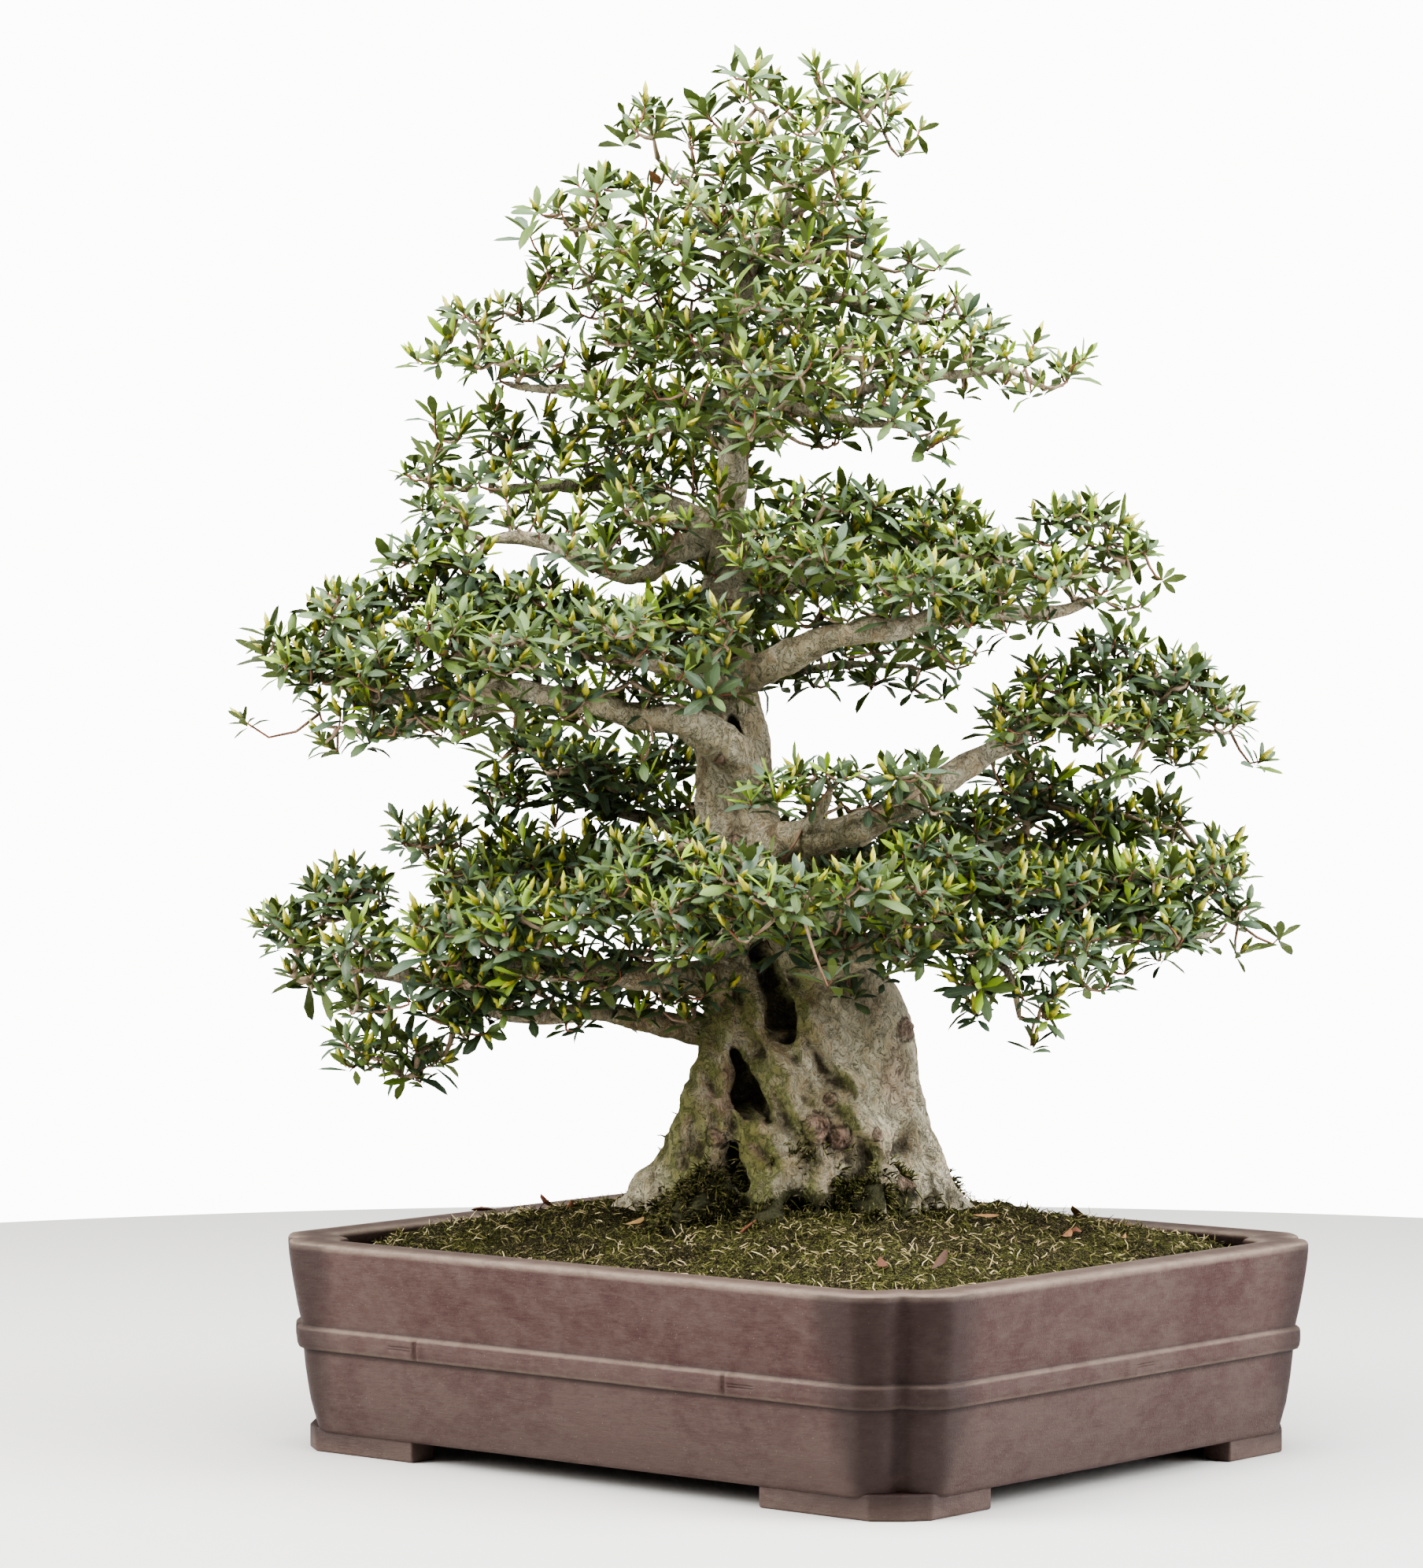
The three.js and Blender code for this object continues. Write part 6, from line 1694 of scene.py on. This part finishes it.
def build_twigs(limb, tips, axes, chance, materials):
    """The leafy part of a limb's wood, and a twig to each of its shoot tips."""
    path, radii = limb_wood(limb, max(limb.bare - WOOD_OVERLAP, 0), 1.0, 6.0)
    radii[-3:] *= (0.92, 0.8, 0.55)
    wood_points, wood_faces = skin(tube_rings(path, radii, 9, 0.16, 7))
    twigs = grow_twigs(to_metres(path, TREE_TURN)[1:], tips, turned(axes))
    load = np.ones(len(twigs))
    for k in range(len(twigs) - 1, -1, -1):
        parent = twigs[k][1]
        if parent >= 0:
            load[parent] += load[k]
    along = np.linspace(0, 1, 4)
    paths = np.array([[bezier(curve, t) for t in along] for curve, _ in twigs])
    bow = chance.normal(0, 0.0012, (len(twigs), 1, 3)) * np.sin(np.pi * along)[None, :, None]
    foot = MM * (0.75 + 0.5 * np.sqrt(load))
    thick = foot[:, None] + (TWIG_TIP * MM - foot[:, None]) * along[None, :]
    twig_points, twig_faces = many_tubes(paths + bow, thick, TWIG_SIDES)
    points, faces = joined([(to_metres(wood_points, TREE_TURN), wood_faces), (twig_points, twig_faces)])
    piece = new_piece(f"twigs_{limb.name}", points, faces)
    ages = np.clip(thick / (2.2 * MM), 0, 1)
    ages = np.concatenate([np.repeat(ages, TWIG_SIDES, axis=1), ages[:, -1:]], axis=1).reshape(-1)
    set_points(piece, "age", np.concatenate([np.ones(len(wood_points)), ages]))
    set_points(piece, "worn", np.full(len(points), 0.7))
    set_points(piece, "reach", np.ones(len(points)))
    coat(piece, *materials, kinds=np.repeat([0, 1], [len(wood_faces), len(twig_faces)]))
    seat(piece, "bark", f"spray_{limb.name}")


def leaf_paint(look):
    leaf = Paint("Azalea leaf", 0.5, 0.32)
    shade, height, along = leaf.value("shade"), leaf.value("rib"), leaf.value("along")
    mottle = leaf.noise(0.004, 3)
    top = leaf.between(look.old, look.old_grey, leaf.steps(shade, (0.1, 0.0), (0.95, 1.0)))
    top = leaf.between(top, look.old_grey, leaf.steps(mottle, (0.45, 0.0), (0.8, 0.5)))
    fresh = leaf.between(look.young, look.young_foot, leaf.steps(along, (0.0, 0.7), (0.7, 0.0)))
    top = leaf.between(top, fresh, leaf.value("youth"))
    top = leaf.between(top, look.rib, leaf.steps(height, (0.88, 0.0), (0.97, 0.3)))
    leaf.colour(leaf.between(look.under, top, leaf.steps(height, (0.0, 0.0), (0.06, 1.0))))
    leaf.bump(leaf.noise(0.0015, 2, 0.5), 0.0002)
    return leaf.material


def bud_paint(look):
    bud = Paint("Azalea bud", 0.45)
    body = bud.steps(bud.value("along"), (0.0, look.bud_scale), (0.2, look.bud_flank), (0.55, look.bud),
                     (1.0, look.bud_tip))
    scales = bud.steps(bud.noise(0.002, 2), (0.55, 0.0), (0.75, 0.3))
    bud.colour(bud.between(body, look.bud_scale, scales))
    bud.bump(bud.noise(0.0012, 2, 0.5), 0.0003)
    return bud.material


def twig_paint(look):
    twig = Paint("Azalea twig", 0.8)
    body = twig.steps(twig.value("age"), (0.36, look.shoot), (0.62, look.twig))
    scaly = twig.noise(0.003, 4, 0.7, 1.0)
    twig.colour(twig.between(body, look.twig_scale, twig.steps(scaly, (0.5, 0.0), (0.7, 0.7))))
    twig.bump(scaly, 0.0006)
    return twig.material


def build_sprays(look):
    chance = np.random.default_rng(5081)
    shoots = shoot_tips(look, chance)
    leaf_materials = (leaf_paint(look), bud_paint(look))
    wood_materials = (bpy.data.objects["trunk_and_limbs"].data.materials[0], twig_paint(look))
    for limb, found in zip(LIMBS, shoots):
        tips, axes = (np.array(column) for column in zip(*found))
        tips_now = build_leaves(limb, tips, axes, look, chance, leaf_materials)
        build_twigs(limb, tips_now, axes, chance, wood_materials)


# ------------------------ litter on the moss


def withered_paint(look):
    dry = Paint("Withered leaf", 0.7)
    body = dry.steps(dry.value("shade"), (0.0, look.dry_dark), (0.6, look.dry), (1.0, look.dry_pale))
    spots = dry.steps(dry.noise(0.004, 4), (0.5, 0.0), (0.75, 0.7))
    dry.colour(dry.between(body, look.dry_spots, spots))
    dry.bump(dry.noise(0.0015, 3), 0.0005)
    return dry.material


def fallen_leaves(look, chance):
    """Withered leaves on the moss, the first of which hangs in the twigs."""
    x, y = chance.uniform(-225, 225, FALLEN_LEAVES), chance.uniform(-180, 180, FALLEN_LEAVES)
    keep = (soil_share(x, y) < 0.93) & (np.hypot(x, y) > 95)
    x, y = x[keep], y[keep]
    count = len(x)
    turn = chance.uniform(0, 2 * np.pi, count)
    forward = unit(np.column_stack([np.cos(turn), np.sin(turn), chance.normal(0, 0.25, count)]))
    face = unit(np.cross(forward, np.cross((0, 0, 1), forward)) + chance.normal(0, 0.2, (count, 3)))
    face = unit(face - forward * (face * forward).sum(axis=1, keepdims=True))
    long = chance.uniform(11, 21, count)
    sizes = np.stack([long, long * 0.36, np.full(count, 0.6)]) * MM
    feet = to_metres(np.column_stack([x, y, soil_height(x, y) + 3.2]))
    blades, blade_faces = leaf_blades(feet, forward, face, sizes, chance.uniform(-0.9, 1.4, count),
                                      chance.uniform(0.1, 0.6, count))
    blades[0] += to_metres([CAUGHT_LEAF], TREE_TURN) - blades[0].mean(axis=0)
    litter = new_piece("fallen_leaves", *repeated(blades, blade_faces))
    set_points(litter, "shade", np.repeat(chance.random(count), blades.shape[1]))
    sharpen(litter, np.tile(LEAF_HEIGHTS < 0.5, count))
    coat(litter, withered_paint(look))
    seat(litter, "leaves")


def fallen_twigs(look, chance):
    ends = np.array(STICKS, float)
    t = np.linspace(0, 1, 5)[None, :, None]
    paths = ends[:, :1] * (1 - t) + ends[:, 1:] * t
    paths += chance.normal(0, 1.6, (len(ends), 1, 3)) * np.sin(np.pi * t)
    points, faces = many_tubes(paths, (1.4 - 0.7 * t[:, :, 0]) * np.ones((len(ends), 1)), 5)
    sticks = new_piece("fallen_twigs", to_metres(points, TREE_TURN), faces)
    set_points(sticks, "age", np.full(len(points), 0.3))
    coat(sticks, twig_paint(look))
    seat(sticks, "bark")


def build_litter(look):
    chance = np.random.default_rng(311)
    fallen_leaves(look, chance)
    fallen_twigs(look, chance)


# ------------------------ stage and camera

def add_light(name, place, target, size, power, tint):
    light = bpy.data.lights.new(name, "AREA")
    light.shape = "DISK"
    light.size = size
    light.energy = power
    light.color = tint
    holder = bpy.data.objects.new(name, light)
    holder.location = place
    holder.rotation_euler = (Vector(target) - Vector(place)).to_track_quat("-Z", "Y").to_euler()
    bpy.context.scene.collection.objects.link(holder)


def build_floor(look):
    bpy.ops.mesh.primitive_circle_add(vertices=160, radius=1.6, fill_type="NGON")
    floor = bpy.context.object
    floor.name = "pale_floor"
    surface = Paint("Pale floor", 0.6)
    surface.colour(look.floor)
    coat(floor, surface.material)


def light_room(look):
    """A world that lights the bonsai from above and looks like a plain bright wall behind it."""
    world = bpy.data.worlds.new("Pale room")
    world.use_nodes = True
    nodes, link = world.node_tree.nodes, world.node_tree.links.new
    room = nodes["Background"]
    wall, mix, path, way, upward, brightness = (nodes.new("ShaderNode" + kind) for kind in (
        "Background", "MixShader", "LightPath", "TexCoord", "SeparateXYZ", "MapRange"))
    for background in (room, wall):
        background.inputs["Color"].default_value = (*look.wall, 1)
    wall.inputs["Strength"].default_value = look.backdrop
    brightness.inputs["From Min"].default_value = -0.15
    brightness.inputs["To Min"].default_value = 0.12 * look.sky
    brightness.inputs["To Max"].default_value = look.sky
    link(way.outputs["Generated"], upward.inputs[0])
    link(upward.outputs["Z"], brightness.inputs["Value"])
    link(brightness.outputs["Result"], room.inputs["Strength"])
    link(path.outputs["Is Camera Ray"], mix.inputs[0])
    link(room.outputs[0], mix.inputs[1])
    link(wall.outputs[0], mix.inputs[2])
    link(mix.outputs[0], nodes["World Output"].inputs["Surface"])
    bpy.context.scene.world = world
    bpy.context.scene.view_settings.look = "AgX - Medium High Contrast"


def hang_lights(look):
    middle = POT_MIDDLE + (0, 0, 0.4)
    for name, side, near, up, size, power, tint in (
            ("Key light", -2.2, 0.5, 0.9, 1.8, look.key, (1, 0.99, 0.97)),
            ("Fill light", 2.2, 0.5, 0.8, 1.8, look.fill, (0.97, 0.98, 1)),
            ("Top light", 0.0, 0.3, 1.4, 1.4, look.top, (1, 1, 1))):
        place = middle + side * VIEW_RIGHT + near * VIEW_BACK + (0, 0, up)
        add_light(name, place, middle, size, power, tint)


def aim_camera():
    """Stands the camera where the bonsai is seen with a corner of its pot to the front."""
    back = Vector((*VIEW_BACK[:2] * math.cos(VIEW_RISE), math.sin(VIEW_RISE)))
    target = Vector(POT_MIDDLE) + Vector(VIEW_RIGHT) * VIEW_TARGET[0] + Vector((0, 0, VIEW_TARGET[1]))
    camera = bpy.data.cameras.new("Camera")
    camera.lens = LENS
    camera.sensor_width = 36
    holder = bpy.data.objects.new("Camera", camera)
    holder.location = target + back * VIEW_DISTANCE
    holder.rotation_euler = back.to_track_quat("Z", "Y").to_euler()
    bpy.context.scene.collection.objects.link(holder)
    bpy.context.scene.camera = holder


# ------------------------ operators and panel


class BONSAI_OT_pot(bpy.types.Operator):
    """Add the rectangular clay pot with its band, feet and drain holes"""

    bl_idname = "bonsai.pot"
    bl_label = "Clay Pot"

    def execute(self, context):
        build_pot(context.scene.bonsai_pot)
        return {"FINISHED"}


class BONSAI_OT_screens(bpy.types.Operator):
    """Finish the screens over the drain holes"""

    bl_idname = "bonsai.screens"
    bl_label = "Drain Screens"

    def execute(self, context):
        build_screens(context.scene.bonsai_pot)
        return {"FINISHED"}


class BONSAI_OT_soil(bpy.types.Operator):
    """Add the mound of soil"""

    bl_idname = "bonsai.soil"
    bl_label = "Soil"

    def execute(self, context):
        build_soil(context.scene.bonsai_soil)
        return {"FINISHED"}


class BONSAI_OT_trunk(bpy.types.Operator):
    """Add the trunk with its roots, hollows and bare limbs"""

    bl_idname = "bonsai.trunk"
    bl_label = "Trunk and Limbs"

    def execute(self, context):
        build_trunk(context.scene.bonsai_trunk)
        return {"FINISHED"}


class BONSAI_OT_moss(bpy.types.Operator):
    """Add the moss on the soil and on the roots. The trunk has to be there already"""

    bl_idname = "bonsai.moss"
    bl_label = "Moss"

    def execute(self, context):
        build_moss(context.scene.bonsai_soil)
        build_root_moss(context.scene.bonsai_soil)
        return {"FINISHED"}


class BONSAI_OT_sprays(bpy.types.Operator):
    """Add the twigs, leaves and buds of every limb. The trunk has to be there already"""

    bl_idname = "bonsai.sprays"
    bl_label = "Leaves and Twigs"

    def execute(self, context):
        build_sprays(context.scene.bonsai_leaves)
        return {"FINISHED"}


class BONSAI_OT_litter(bpy.types.Operator):
    """Add withered leaves and dead twigs on the moss"""

    bl_idname = "bonsai.litter"
    bl_label = "Fallen Leaves and Twigs"

    def execute(self, context):
        build_litter(context.scene.bonsai_leaves)
        return {"FINISHED"}


class BONSAI_OT_stage(bpy.types.Operator):
    """Add the floor, the lights and the camera"""

    bl_idname = "bonsai.stage"
    bl_label = "Stage"

    def execute(self, context):
        build_floor(context.scene.bonsai_stage)
        light_room(context.scene.bonsai_stage)
        hang_lights(context.scene.bonsai_stage)
        aim_camera()
        return {"FINISHED"}


SETTINGS = {
    "bonsai_pot": PotLook,
    "bonsai_soil": SoilLook,
    "bonsai_trunk": TrunkLook,
    "bonsai_leaves": LeafLook,
    "bonsai_stage": StageLook,
}
OPERATORS = (BONSAI_OT_stage, BONSAI_OT_pot, BONSAI_OT_screens, BONSAI_OT_soil, BONSAI_OT_trunk,
             BONSAI_OT_moss, BONSAI_OT_litter, BONSAI_OT_sprays)


class BONSAI_PT_panel(bpy.types.Panel):
    """Lists the pieces of the bonsai with their settings"""

    bl_idname = "BONSAI_PT_panel"
    bl_label = "Satsuki Azalea Bonsai"
    bl_space_type = "VIEW_3D"
    bl_region_type = "UI"
    bl_category = "Bonsai"

    def draw(self, context):
        for operator in OPERATORS:
            self.layout.operator(operator.bl_idname)
        for name, group in SETTINGS.items():
            box = self.layout.box()
            for setting in group.__annotations__:
                box.prop(getattr(context.scene, name), setting)


def register():
    for kind in (*SETTINGS.values(), *OPERATORS, BONSAI_PT_panel):
        bpy.utils.register_class(kind)
    for name, group in SETTINGS.items():
        setattr(bpy.types.Scene, name, bpy.props.PointerProperty(type=group))


def unregister():
    for name in SETTINGS:
        delattr(bpy.types.Scene, name)
    for kind in (BONSAI_PT_panel, *reversed(OPERATORS), *reversed(list(SETTINGS.values()))):
        bpy.utils.unregister_class(kind)


def main():
    register()
    for operator in OPERATORS:
        getattr(bpy.ops.bonsai, operator.bl_idname.split(".")[1])()


if __name__ == "__main__":
    main()
